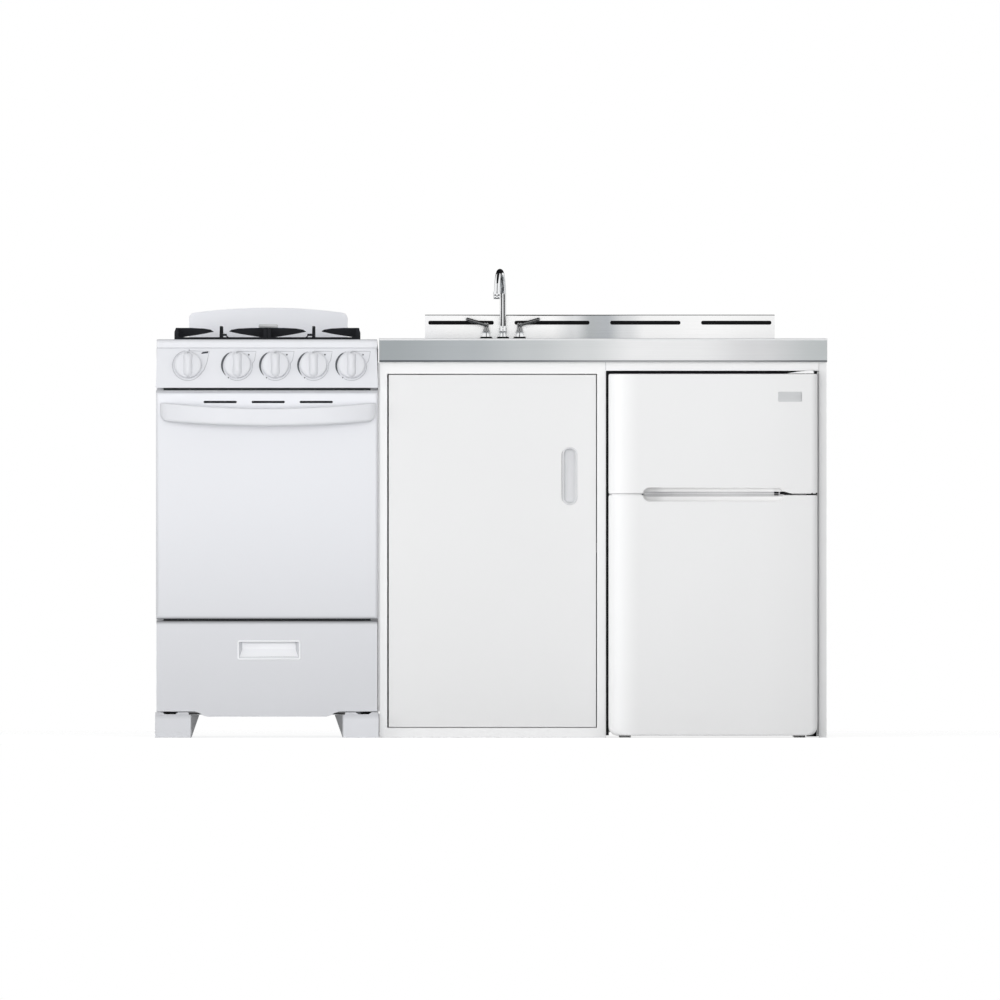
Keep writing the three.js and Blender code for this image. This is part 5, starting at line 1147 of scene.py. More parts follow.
class KITCHENETTE_OT_oven_door(bpy.types.Operator):
    """Oven door, its bowed handle and its seal, and the rack inside"""
    bl_idname = "kitchenette.oven_door"
    bl_label = "Oven door and rack"

    def execute(self, context):
        sizes = context.scene.kitchenette_range
        softened("oven_door_skin", "door_enamel", 0.4 * MM, crest=7 * MM, lift=3.6 * MM,
                 reshape=self.shift_slots)
        self.handle(sizes)
        self.seal()
        self.rack(sizes)
        return {"FINISHED"}

    def shift_slots(self, spot):
        """Sets the vent slots a little to the right."""
        if abs(spot.z - 768.5 * MM) < 8 * MM and abs(spot.x - middle("oven_door_skin").x) < 200 * MM:
            spot.x += SLOT_SHIFT

    def handle(self, sizes):
        """The bar handle: bowed outwards, sagging in the middle, with rounded ends."""
        low, high = box_of("oven_door_handle")
        centre = (low.x + high.x) / 2 + 2.6 * MM
        half = (high.x - low.x) / 2 + 1.2 * MM
        back_face = high.y
        reach = high.y - low.y
        thick = 16 * MM
        top_end = high.z + 4.5 * MM
        rings = []
        steps = 72
        for index in range(steps + 1):
            share = math.sin(math.pi * (index / steps - 0.5))
            bow = 1 - share ** 4
            sag = 13.8 * MM * (1 - share ** 2)
            end = max(0.0, (abs(share) - 0.94) / 0.06)
            cut_back = 1 - math.sqrt(max(0.0, 1 - end ** 2)) if end else 0.0
            top = top_end - sag - 3 * MM * cut_back
            bottom = top_end - sizes.handle_height - sag * 0.86 + 20 * MM * cut_back
            depth = thick * (1 - 0.55 * cut_back)
            back = back_face - (reach - thick) * bow
            front = back - depth
            x = centre + share * half
            rounds = [min(7.5 * MM, depth * 0.48), 3 * MM, 3 * MM, min(5 * MM, depth * 0.4)]
            section = rounded(front, back, bottom, top, rounds, 6)
            rings.append([Vector((x, y, z)) for y, z in section])
        form = bmesh.new()
        skin(form, rings)
        add_piece("oven_handle_fine", form, "white_plastic", "oven_door",
                  ("oven_door_handle",), 60)

    def seal(self):
        """The braided seal on the inner side of the oven door."""
        low, high = box_of("oven_door_liner")
        centre = (low.x + high.x) / 2
        y = low.y + 1.3 * MM
        outline = rounded(centre - 208 * MM, centre + 208 * MM, 300 * MM, 750 * MM, 12 * MM, 5)
        path = [Vector((x, y, z)) for x, z in outline]
        grown("oven_seal", wire_tree, chains(path + path[:1]), "braid", "oven_door", "black_steel",
              sizes={"Radius": 2.6 * MM, "Sides": 10})

    def rack(self, sizes):
        """The oven rack: a frame with one cross wire, and the bars on it."""
        low, high = box_of("oven_rack")
        wire = sizes.rack_wire
        z = (low.z + high.z) / 2
        frame_path = rounded(low.x + wire, high.x - wire, low.y + wire, high.y - wire, 14 * MM, 5)
        loop = [Vector((x, y, z)) for x, y in frame_path]
        cross_y = (low.y + high.y) / 2
        cross = [Vector((low.x + wire, cross_y, z)), Vector((high.x - wire, cross_y, z))]
        grown("oven_rack_frame", wire_tree, chains(loop + loop[:1], cross), "chrome", "unit", "chrome",
              ("oven_rack",), sizes={"Radius": wire, "Sides": 12})
        count = 16
        bars = []
        for index in range(1, count):
            x = low.x + (high.x - low.x) * index / count
            bars.append([Vector((x, y, z + wire * 0.25)) for y in (low.y + wire, high.y - wire)])
        grown("oven_rack_bars", wire_tree, chains(*bars), "chrome", "unit", "chrome",
              sizes={"Radius": wire * 0.6, "Sides": 10})


class KITCHENETTE_OT_hob(bpy.types.Operator):
    """Grates, burners with their flame ports and igniters"""
    bl_idname = "kitchenette.hob"
    bl_label = "Grates and burners"

    def execute(self, context):
        sizes = context.scene.kitchenette_range
        for side in ("left", "right"):
            softened("grate_" + side, "cast_iron", 1.5 * MM, 3, 40)
        for name in BURNERS:
            self.burner(name, sizes)
        return {"FINISHED"}

    def burner(self, name, sizes):
        """A burner: body, cap, flame ports and igniter."""
        spot = middle("burner_" + name)
        well = 896 * MM
        place = Matrix.Translation((spot.x, spot.y, well))
        rim = 37.4
        body = bmesh.new()
        turned(body, mm((0, -26), (14, -26), (14, 0.4), (rim, 0.4), (rim, 2.4), (rim - 1, 3), (rim - 8, 4.6),
                        (rim - 8, 11), (rim - 6.5, 11.6), (0, 11.6)), place, 64)
        add_piece("burner_body_" + name, body, "aluminium", "unit", ("burner_" + name,))
        cap = bmesh.new()
        turned(cap, mm((0, 11.7), (rim - 5, 11.7), (rim - 3.6, 12.3), (rim - 3.4, 13.4), (rim - 5, 15.2),
                       (rim - 9, 16.3), (12, 16.9), (0, 17)), place, 64)
        add_piece("burner_cap_" + name, cap, "black_enamel", "unit")
        # black blocks stand for the flame ports: painted shade in place of open ports
        grown("burner_ports_" + name, ring_tree, bmesh.new(), "black_steel", "unit", "black_enamel", sizes={
            "Count": sizes.port_count, "Centre": (spot.x, spot.y, well + 7.6 * MM),
            "Radius": (rim - 8) * MM, "Block": (1.4 * MM, 2.2 * MM, 4.6 * MM)})
        igniter = bmesh.new()
        inward = 1 if "left" in name else -1
        seat = Matrix.Translation((spot.x + inward * 31.5 * MM, spot.y + 22 * MM, well + 2.2 * MM))
        turned(igniter, mm((0, 0), (3, 0), (3, 4), (1.9, 5), (1.9, 8), (0.7, 8.4), (0.6, 10.4), (0, 10.6)),
               seat, 20)
        add_piece("igniter_" + name, igniter, "ceramic", "unit")


# ---------------------------------------------------------------- sink cabinet and top

class KITCHENETTE_OT_sink_cabinet(bpy.types.Operator):
    """Face frame and door of the sink cabinet, with pull, hinge knuckles, latch, a filler strip, and black strips of
    painted shade in the gaps
    """
    bl_idname = "kitchenette.sink_cabinet"
    bl_label = "Sink cabinet"

    def execute(self, context):
        softened("cabinet_face_frame", "frame_coating", 0.5 * MM)
        softened("sink_door", "sink_coating", 0.5 * MM)
        self.pull()
        self.seam()
        self.knuckles()
        self.latch()
        self.strips()
        return {"FINISHED"}

    def pull(self):
        """The recessed pull: a raised border round a dish, and a skin behind it."""
        low, high = box_of("sink_door_grip")
        left, right = low.x + 3.4 * MM, high.x + 2.6 * MM
        face = low.y + 1.5 * MM
        half = (right - left) / 2

        def ring(inset, depth):
            size = inset * MM
            corner = half - size - 0.05 * MM
            outline = rounded(left + size, right - size, low.z + size, high.z - size, corner, 14)
            return [Vector((x, face + depth * MM, z)) for x, z in outline]

        dish = ((0.0, 0.0), (0.9, -1.2), (2.2, -1.5), (3.6, -1.2), (4.4, 0.0), (4.9, 4.0), (5.9, 7.5),
                (8.2, 9.6), (12.0, 10.5))
        back = ((12.0, 11.8), (3.6, 10.6), (3.2, 4.0), (2.9, 0.3), (0.2, 0.3), (0.0, 0.0))
        form = bmesh.new()
        rings = [ring(*station) for station in dish]
        behind = [ring(*station) for station in back]
        skin(form, rings, closed=False)
        skin(form, behind, closed=False)
        for end in (rings[-1], behind[0]):
            form.faces.new([form.verts.new(point) for point in end])
        add_piece("sink_door_pull", form, "grip_plastic", "sink_door",
                  ("sink_door_grip",), 50)

    def seam(self):
        """The upright joint of the face frame, above the refrigerator's left edge."""
        face = box_of("cabinet_face_frame")[0].y
        form = bmesh.new()
        block(form, (261.8 * MM, face - 0.12 * MM, 840.6 * MM), (262.8 * MM, face + 1 * MM, 859.8 * MM),
              0.1 * MM, 1)
        add_piece("frame_seam", form, "ink", "unit")

    def knuckles(self):
        """Two hinge knuckles with their leaves on the inside of the sink door."""
        low, high = box_of("sink_door")
        half = 22 * MM
        for index, z in enumerate((110 * MM, 745 * MM)):
            form = bmesh.new()
            place = Matrix.Translation((low.x + 14 * MM, high.y + 5 * MM, z - half))
            turned(form, mm((0, 0), (4, 0), (4, 14.4), (3.2, 14.7), (3.2, 15.2), (4, 15.5), (4, 29.4),
                            (3.2, 29.7), (3.2, 30.2), (4, 30.5), (4, 44), (0, 44)), place, 24)
            block(form, (low.x + 12 * MM, high.y - 1.4 * MM, z - half),
                  (low.x + 44 * MM, high.y + 1.6 * MM, z + half), 0.3 * MM)
            add_piece("hinge_knuckle_" + str(index + 1), form, "galvanised", "sink_door")

    def latch(self):
        """A magnetic catch on the partition and its plate on the door."""
        back = box_of("sink_door")[1].y
        wall = box_of("cabinet_partition")[0].x
        plate = bmesh.new()
        block(plate, (222 * MM, back - 0.2 * MM, 420 * MM), (236 * MM, back + 1.8 * MM, 450 * MM), 0.5 * MM)
        add_piece("latch_plate", plate, "galvanised", "sink_door")
        catch = bmesh.new()
        block(catch, (226 * MM, back + 3.4 * MM, 424 * MM), (wall, back + 15 * MM, 446 * MM), 1.2 * MM, 3)
        block(catch, (224.5 * MM, back + 2.6 * MM, 428 * MM), (234 * MM, back + 9 * MM, 442 * MM), 0.4 * MM)
        add_piece("latch_catch", catch, "white_plastic", "unit")

    def strips(self):
        """Pale filler between range and cabinet, black strips that paint the shade in the gaps beside and above the
        refrigerator door, and a pale strip on the right of its opening.
        """
        for name, low, high, finish in (
            ("filler_strip", (-258.9, -266, 60), (-255.1, -258, 859), "white_coating"),
            # painted shade: black strips in the gaps beside and above the refrigerator door
            ("opening_strip_left", (262.95, -267.2, 5), (266.4, -260, 838), "black_steel"),
            ("opening_lip_left", (262.95, -271.8, 5), (269.4, -267.3, 838), "black_steel"),
            ("opening_strip_top", (263.1, -260, 832.9), (718, -250, 840.5), "black_steel"),
            ("opening_strip_right", (746.8, -266, 5), (750.2, -262, 838), "white_coating"),
        ):
            form = bmesh.new()
            block(form, Vector(low) * MM, Vector(high) * MM, 0.4 * MM)
            add_piece(name, form, finish, "unit")


class KITCHENETTE_OT_sink_top(bpy.types.Operator):
    """Stainless top, backsplash, bowl, drain strainer and basket"""
    bl_idname = "kitchenette.sink_top"
    bl_label = "Sink top and bowl"

    def execute(self, context):
        softened("countertop", "top_steel", 0.15 * MM)
        softened("backsplash", "splash_steel", 0.3 * MM, crest=3.0 * MM, reshape=self.nudge)
        self.hem()
        self.rolled_edge()
        self.slot_shade()
        self.bowl(context.scene.kitchenette_sink)
        self.basket()
        return {"FINISHED"}

    def nudge(self, spot):
        """Opens the slots a little and moves the first bridge between them to the left."""
        slot_z = 943.2 * MM
        if abs(spot.z - slot_z) < 12 * MM:
            spot.z = slot_z + (spot.z - slot_z) * 1.2
            if 10 * MM < spot.x < 70 * MM:
                spot.x -= 11 * MM

    def rolled_edge(self):
        """A paler roll along the upper front edge of the top: a painted highlight."""
        low, high = box_of("countertop")
        radius = 4.2 * MM
        outer, inner = [[(low.y + radius - back, high.z - radius + up) for back, up in arc(reach, 0, 90, 8)]
                        for reach in (radius + 0.15 * MM, radius - 0.4 * MM)]
        form = bmesh.new()
        prism(form, outer + inner[::-1], low.x + 0.4 * MM, high.x - 0.4 * MM, FROM_SIDE)
        add_piece("countertop_roll", form, "edge_steel", "unit")

    def hem(self):
        """The folded lower edge along the front of the top."""
        low, high = box_of("countertop")
        form = bmesh.new()
        block(form, (low.x + 0.6 * MM, low.y - 0.15 * MM, low.z + 0.1 * MM),
              (high.x - 0.6 * MM, low.y + 1.2 * MM, low.z + 4.4 * MM), 0.3 * MM)
        # its dark tone is painted shade and dark reflection
        add_piece("countertop_hem", form, "hem_steel", "unit")

    def slot_shade(self):
        """A black strip behind the slots of the backsplash, which paints the shade inside them."""
        low, high = box_of("backsplash")
        form = bmesh.new()
        block(form, (low.x + 1.6 * MM, low.y + 4 * MM, low.z + 0.4 * MM),
              (high.x - 1.6 * MM, low.y + 6 * MM, high.z - 1.6 * MM), 0.3 * MM)
        # painted shade behind the slots
        add_piece("backsplash_backing", form, "black_steel", "unit")

    def bowl(self, sizes):
        """The pressed bowl: lip, walls, floor falling to the drain, and the same skin below."""
        low, high = box_of("sink_bowl")
        centre = middle("sink_bowl")
        lip = 16 * MM
        wall = 1.2 * MM
        corner = 55 * MM
        floor_z = 762.5 * MM
        top_z = high.z
        half_x = (high.x - low.x) / 2 - lip
        half_y = (high.y - low.y) / 2 - lip
        bend = sizes.bowl_bend

        def ring(grow, z, radius):
            outline = rounded(centre.x - half_x - grow, centre.x + half_x + grow, centre.y - half_y - grow,
                              centre.y + half_y + grow, radius, 12)
            return [Vector((x, y, z)) for x, y in outline]

        inner = [ring(lip, top_z, corner + lip), ring(1.5 * MM, top_z, corner + 1.5 * MM),
                 ring(0.3 * MM, top_z - 0.5 * MM, corner + 0.3 * MM), ring(0, top_z - 2 * MM, corner),
                 ring(0, (top_z + floor_z) / 2, corner), ring(0, floor_z + bend, corner)]
        for step in range(1, 9):
            angle = math.radians(90 * step / 8)
            back = bend * (1 - math.cos(angle))
            inner.append(ring(-back, floor_z + bend - bend * math.sin(angle), corner - back * 0.9))
        drain = 43 * MM
        last = inner[-1]
        for share in (0.25, 0.5, 0.75, 1.0):
            blended = []
            for edge in last:
                direction = (edge - Vector((centre.x, centre.y, edge.z))).normalized()
                target = Vector((centre.x, centre.y, floor_z)) + direction * drain
                blended.append(edge.lerp(target, share))
            inner.append(blended)
        form = bmesh.new()
        skin(form, inner, closed=False)
        outer = [[point + Vector((0, 0, -wall)) for point in inner[0]]]
        outer += [ring(wall, z, corner + wall) for z in (top_z - wall - 2 * MM, floor_z + bend)]
        for step in range(1, 5):
            angle = math.radians(90 * step / 4)
            back = bend * (1 - math.cos(angle))
            z = floor_z + bend - (bend + wall) * math.sin(angle)
            outer.append(ring(wall - back, z, corner + wall - back * 0.9))
        outer.append([point + Vector((0, 0, -wall)) for point in inner[-1]])
        skin(form, [inner[0]] + outer + [inner[-1]], closed=False)
        add_piece("sink_bowl_fine", form, "stainless", "unit", ("sink_bowl",), 50)

    def basket(self):
        """The strainer basket: perforated cup, rim and lifting post."""
        spot = middle("sink_bowl")
        place = Matrix.Translation((spot.x, spot.y, 765.1 * MM))
        sheet = bmesh.new()
        profile = mm((6, -22.6), (11, -22.7), (16, -22.8), (21.5, -22.9), (27.5, -22.6), (31, -17),
                     (33, -11.5), (35, -6))
        skin(sheet, [circle(place, radius, height, 36) for radius, height in profile], closed=False)
        bmesh.ops.recalc_face_normals(sheet, faces=sheet.faces)
        grown("basket_mesh", holes_tree, sheet, "stainless", "strainer", "stainless", ("strainer_basket",),
              sizes={"Open share": 0.52},
              modifiers=(("SOLIDIFY", {"thickness": 0.6 * MM, "offset": 0.0}),))
        rim = bmesh.new()
        turned_ring(rim, mm((34.4, -6.4), (35.4, -6.2), (37.2, -0.6), (44.2, 0.2), (44.7, 0.8), (43.8, 1.4),
                            (36.2, 0.7)), place, 72)
        turned(rim, mm((0, -23.4), (6.6, -23.4), (6.6, -22), (3.4, -20), (3.2, 3), (6, 4.4), (8.6, 6),
                       (8.8, 8), (7, 9.4), (0, 9.9)), place, 40)
        add_piece("basket_rim", rim, "stainless", "strainer")


class KITCHENETTE_OT_faucet(bpy.types.Operator):
    """Gooseneck spout, its bells and two levers"""
    bl_idname = "kitchenette.faucet"
    bl_label = "Faucet"

    def execute(self, context):
        sizes = context.scene.kitchenette_sink
        self.bells(sizes)
        self.spout(sizes)
        for side, way in (("left", -1), ("right", 1)):
            self.lever(side, way, sizes)
        return {"FINISHED"}

    def bells(self, sizes):
        """The three bells on the deck with their seals, and the bar that joins them below."""
        low, high = box_of("faucet_base")
        centre = middle("faucet_base")
        rim = sizes.bell_radius / MM
        form, seals = bmesh.new(), bmesh.new()
        for shift in (-BELL_PITCH, 0, BELL_PITCH):
            place = Matrix.Translation((centre.x + shift, centre.y, DECK_Z))
            turned(form, mm((0, -34), (8, -34), (8, 0.3), (rim, 0.3), (rim, 1.6), (rim - 0.6, 2.6),
                            (rim - 1.6, 4.2), (rim - 3.2, 7.6), (rim - 4.4, 11), (rim - 4.9, 14),
                            (rim - 4.2, 15), (rim - 4.2, 17.4), (rim - 5, 18), (0, 18)), place, 48)
            turned_ring(seals, mm((rim - 3, 0.1), (rim + 1.3, 0.1), (rim + 1.5, 1.2), (rim + 1.1, 3.6),
                                  (rim - 0.6, 5.6), (rim - 3, 6.0)), place, 48)
        block(form, (low.x, centre.y - 9 * MM, low.z),
              (high.x, centre.y + 9 * MM, low.z + 14 * MM), 1.5 * MM)
        add_piece("faucet_bells", form, "chrome", "unit", ("faucet_base",))
        add_piece("faucet_seals", seals, "black_steel", "unit")

    def spout(self, sizes):
        """The gooseneck with its nut and its outlet."""
        centre = middle("faucet_base")
        tube = sizes.tube_radius
        neck = tube / MM
        bend = 56 * MM
        bend_z = 161.8 * MM - tube - bend
        seat = Matrix.Translation((centre.x, centre.y, DECK_Z)) @ Matrix.Rotation(math.radians(-7), 4, "Z")
        points = [Vector((0, 0, 19 * MM + (bend_z - 19 * MM) * step / 6)) for step in range(6)]
        for step in range(37):
            angle = math.pi * step / 36
            points.append(Vector((0, -bend + bend * math.cos(angle), bend_z + bend * math.sin(angle))))
        points.append(Vector((0, -112 * MM, 96 * MM)))
        form = bmesh.new()
        swept(form, [seat @ point for point in points], tube, 32)
        turned(form, mm((0, 18.3), (9, 18.3), (9, 19.4), (8.6, 20.4), (8.6, 25.5), (8, 27.5),
                        (neck + 0.4, 30.3), (0, 30.3)), seat, 48)
        outlet = seat @ Matrix.Translation((0, -112 * MM, 92 * MM))
        turned(form, mm((0, 1.5), (5.6, 1.5), (6, 0), (7.6, 0), (8.2, 0.6), (8.2, 6), (7.7, 6.6), (7.7, 7.6),
                        (8.6, 8.4), (8.6, 13), (neck + 0.3, 18), (0, 18)), outlet, 48)
        add_piece("spout_fine", form, "chrome", "spout", ("faucet_spout",), 45)

    def lever(self, side, way, sizes):
        """A lever handle: hub, and an arm that widens and rises to its round tip."""
        centre = middle("faucet_base")
        seat = Matrix.Translation((centre.x + way * BELL_PITCH, centre.y, DECK_Z))
        form = bmesh.new()
        turned(form, mm((0, 18.3), (7.5, 18.3), (7.5, 20), (6.6, 21.4), (5.2, 26), (5.2, 30.5), (6, 34),
                        (5.4, 37), (3.2, 39), (0, 39.3)), seat, 40)
        reach = sizes.lever_length
        rings = []
        for step in range(25):
            share = step / 24
            r = reach * share
            rise = (33.4 + 12.0 * share + 1.6 * share ** 2) * MM
            half = (4.0 + 1.8 * share ** 2) * MM
            thick = (4.0 - 0.2 * share) * MM
            if share > 0.93:
                close = math.sqrt(max(0.04, 1 - ((share - 0.93) / 0.07) ** 2))
                half *= close
                thick *= close
            ring = []
            for turn in range(20):
                angle = 2 * math.pi * turn / 20
                up = thick * math.sin(angle)
                ring.append(seat @ Vector((way * (r - up * 0.3), half * math.cos(angle), rise + up)))
            rings.append(ring)
        skin(form, rings)
        add_piece("lever_" + side + "_fine", form, "lever_chrome", "lever_" + side,
                  ("faucet_lever_" + side,), 60)


# ---------------------------------------------------------------- refrigerator

class KITCHENETTE_OT_refrigerator(bpy.types.Operator):
    """Doors with soft edges, the bright pull, gaskets, shelves, hinge cover and condenser"""
    bl_idname = "kitchenette.refrigerator"
    bl_label = "Refrigerator"

    def execute(self, context):
        sizes = context.scene.kitchenette_fridge
        for door, way in (("fridge_door", -1), ("freezer_door", 1)):
            self.door(door, way, sizes)
            self.pull(door, way)
            self.gasket(door)
        self.pull_end()
        self.badge(sizes)
        self.hinge_cover()
        self.shelves(sizes)
        self.bin()
        self.inner_lamp()
        self.condenser(sizes)
        return {"FINISHED"}

    def door(self, name, way, sizes):
        """A foamed door: its left edge falls back in a long round, its right edge in a short one."""
        low, high = box_of(name)
        rim = 2.6 * MM
        lower_corner = 20 * MM if way < 0 else 4 * MM
        upper_corner = 4 * MM
        left = low.x + 2.2 * MM

        def fall(radius, gap):
            """How far a round falls back at a distance from the edge."""
            return radius - math.sqrt(max(0.0, radius ** 2 - max(0.0, radius - gap) ** 2))

        def ring(z):
            up, down = high.z - z, z - low.z
            sink = fall(rim, min(up, down))
            inset = max(fall(upper_corner, up), fall(lower_corner, down))
            spots = []
            for x, side, reach, depth, start in (
                (left + inset, 1, sizes.edge_reach, sizes.edge_depth, 0),
                (high.x - inset, -1, 14 * MM, 10 * MM, 90),
            ):
                for step in range(13):
                    angle = math.radians(abs(start - 90 * step / 12))
                    spots.append(Vector((x + side * reach * (1 - math.cos(angle)),
                                         low.y + sink + depth * (1 - math.sin(angle)), z)))
            spots.append(Vector((high.x - inset, high.y, z)))
            spots.append(Vector((left + inset, high.y, z)))
            return spots

        heights = []
        for step in range(7):
            share = 1 - math.cos(math.radians(90 * step / 6))
            heights.append(low.z + lower_corner * share)
            heights.append(high.z - upper_corner * share)
        for step in range(1, 6):
            share = 1 - math.cos(math.radians(90 * step / 6))
            heights.append(low.z + rim * share)
            heights.append(high.z - rim * share)
        heights.sort()
        levels = [z for z, after in zip(heights, heights[1:] + [1.0]) if after - z > 0.02 * MM]
        form = bmesh.new()
        skin(form, [ring(z) for z in levels])
        tool = bmesh.new()
        pull_low, pull_high = box_of(name + "_pull")
        reach = pull_high.z - pull_low.z + PULL_GROWTH
        outline = rounded(pull_low.x - 0.1 * MM, pull_high.x + 0.1 * MM, SPLIT_Z - reach - 0.1 * MM,
                          SPLIT_Z + reach + 0.1 * MM, reach, 12)
        prism(tool, outline, low.y - 8 * MM, low.y + 17.4 * MM, FROM_FRONT)
        place_mesh(name + "_fine", cut(form, tool), "door_coating", name, (name,), 30, True)

    def pull(self, name, way):
        """Half of the bright pull: a dish with a border, and a lip along the gap between the doors."""
        low, high = box_of(name + "_pull")
        radius = high.z - low.z + PULL_GROWTH
        face = box_of(name)[0].y

        def ring(inset, depth, sill):
            size = radius - inset * MM
            bend = arc(size, math.degrees(math.asin(sill * MM / size)), 90, 14)
            spots = [(low.x + radius - along, up) for along, up in bend]
            spots += [(high.x - radius + along, up) for along, up in reversed(bend)]
            return [Vector((x, face + depth * MM, SPLIT_Z + way * up)) for x, up in spots]

        stations = ((0.15, 15.5, 1.45), (0.1, 1.0, 1.45), (0.1, 0.0, 1.45), (0.4, -0.3, 1.5),
                    (1.8, -0.3, 1.9), (2.3, 0.2, 2.1), (2.9, 1.4, 2.2), (4.4, 3.0, 2.2),
                    (7.0, 4.2, 2.2), (9.8, 4.8, 2.2), (11.8, 5.0, 2.2))
        form = bmesh.new()
        skin(form, [ring(*station) for station in stations])
        add_piece(name + "_dish", form, "pull_dish", name, (name + "_pull",), 40)
        lip = bmesh.new()
        inner, outer = 0.03 * MM, 6.3 * MM if way > 0 else 4.4 * MM
        low_z, high_z = sorted((SPLIT_Z + way * inner, SPLIT_Z + way * outer))
        rounds = [2.2 * MM, 1 * MM, 1 * MM, 0.05 * MM] if way < 0 else [0.05 * MM, 1 * MM, 1 * MM, 3 * MM]
        section = rounded(face + 1.4 * MM, face + 8 * MM, low_z, high_z, rounds, 6)
        prism(lip, section, low.x + 2.6 * MM, high.x - 2.6 * MM, FROM_SIDE, 1.2 * MM, 3)
        add_piece(name + "_lip", lip, "pull_lip", name, sharp=50)

    def pull_end(self):
        """Black wedges beside the right end of the pull, which paint the shade in the recess between the doors, the
        hinge's plugs, and the strip in the gap.
        """
        face = box_of("freezer_door")[0].y
        form = bmesh.new()
        # painted shade: black wedges where the recess between the doors lies in shadow
        outline = mm((660, 557.2), (689, 557.2), (688, 558.4), (671, 563.4), (662, 563.4))
        prism(form, outline, face - 0.5 * MM, face + 3 * MM, FROM_FRONT, 0.2 * MM, 1, (True, False))
        block(form, (647.6 * MM, face - 0.2 * MM, 557.1 * MM),
              (658 * MM, face + 3 * MM, 563.2 * MM), 0.3 * MM)
        add_piece("pull_wedge", form, "black_steel", "freezer_door")
        form = bmesh.new()
        block(form, (647.6 * MM, face - 0.2 * MM, 554.4 * MM),
              (658 * MM, face + 3 * MM, 556.8 * MM), 0.3 * MM)
        add_piece("pull_wedge_lower", form, "black_steel", "fridge_door")
        form = bmesh.new()
        for x in (732.8 * MM, 743 * MM):
            block(form, (x, face - 0.1 * MM, 557.4 * MM),
                  (x + 3.4 * MM, face + 2.4 * MM, 560.6 * MM), 0.9 * MM, 3)
        add_piece("hinge_plugs", form, "black_steel", "freezer_door")
        form = bmesh.new()
        block(form, (276 * MM, face + 4.5 * MM, 555.3 * MM), (345 * MM, face + 30 * MM, 557.6 * MM), 0.3 * MM)
        add_piece("gap_strip", form, "door_coating", "fridge_door")

    def bin(self):
        """A clear-fronted bin on the inside of the refrigerator door."""
        back = box_of("fridge_door")[1].y
        tray = mm((0.1, 300), (38, 300), (44, 306), (50, 352), (48.2, 352.4), (42.4, 307.6), (37, 302),
                  (3, 302), (3, 368), (0.1, 368))
        side = mm((0.1, 299), (40, 299), (52, 356), (30, 362), (0.1, 370))
        form = bmesh.new()
        prism(form, [(back + u, z) for u, z in tray], 330 * MM, 684 * MM, FROM_SIDE, 0.4 * MM, 2)
        for x in (328 * MM, 684 * MM):
            prism(form, [(back + u, z) for u, z in side], x, x + 3 * MM, FROM_SIDE, 0.8 * MM, 2)
        add_piece("fridge_bin", form, "liner", "fridge_door")

    def inner_lamp(self):
        """The lamp under the ceiling of the refrigerator compartment."""
        form = bmesh.new()
        block(form, (478 * MM, -172 * MM, 532.6 * MM), (535 * MM, -118 * MM, 536.8 * MM), 1.2 * MM, 3)
        add_piece("inner_lamp_base", form, "white_plastic", "unit")
        shade = bmesh.new()
        place = Matrix.Translation((506.5 * MM, -145 * MM, 532.8 * MM)) @ Matrix.Rotation(math.pi, 4, "X")
        turned(shade, mm((0, 0), (19, 0), (19, 1.2), (17.6, 2.8), (12, 5.2), (5, 6.4), (0, 6.6)), place, 40)
        add_piece("inner_lamp_shade", shade, "ceramic", "unit")

    def gasket(self, door):
        """The gasket round the inside of a door."""
        low, high = box_of(door)
        outline = rounded(low.x + 12 * MM, high.x - 12 * MM, low.z + 12 * MM, high.z - 12 * MM, 6 * MM, 4)
        path = [Vector((x, high.y + 2.4 * MM, z)) for x, z in outline]
        grown(door + "_gasket", wire_tree, chains(path + path[:1]), "rubber", door, "white_plastic",
              sizes={"Radius": 2.6 * MM, "Sides": 8})

    def badge(self, sizes):
        """The bare plate in the upper right corner of the freezer door."""
        face = box_of("freezer_door")[0].y
        right = 711 * MM
        form = bmesh.new()
        outline = rounded(right - sizes.badge_width, right, 769 * MM, 792 * MM, 2 * MM, 4)
        prism(form, outline, face - 0.8 * MM, face + 0.4 * MM, FROM_FRONT, 0.4 * MM, 2, (True, False))
        add_piece("freezer_plate", form, "silver_pull", "freezer_door")

    def hinge_cover(self):
        """The cover over the top hinge."""
        form = bmesh.new()
        profile = ((676, 833.7), (738.5, 833.7), (738.5, 838.4), (735.5, 840.2), (728, 840.3), (700, 837.6))
        prism(form, mm(*profile), -313 * MM, -236 * MM, FROM_FRONT, 0.9 * MM, 2)
        add_piece("hinge_cover", form, "frame_coating", "unit")

    def shelves(self, sizes):
        """Three wire shelves."""
        low, high = box_of("fridge_cabinet")
        x0, x1 = low.x + 40 * MM, high.x - 40 * MM
        y0, y1 = low.y + 66 * MM, low.y + 250 * MM
        for index, z in enumerate((250 * MM, 375 * MM, 470 * MM)):
            outline = rounded(x0, x1, y0, y1, 12 * MM, 4)
            loop = [Vector((x, y, z)) for x, y in outline]
            wires = []
            for step in range(1, sizes.shelf_wires):
                x = x0 + (x1 - x0) * step / sizes.shelf_wires
                wires.append([Vector((x, y0, z + 1.2 * MM)), Vector((x, y1, z + 1.2 * MM))])
            grown("fridge_shelf_" + str(index + 1), wire_tree, chains(loop + loop[:1], *wires), "chrome",
                  "unit", "chrome", sizes={"Radius": 1.7 * MM, "Sides": 8})

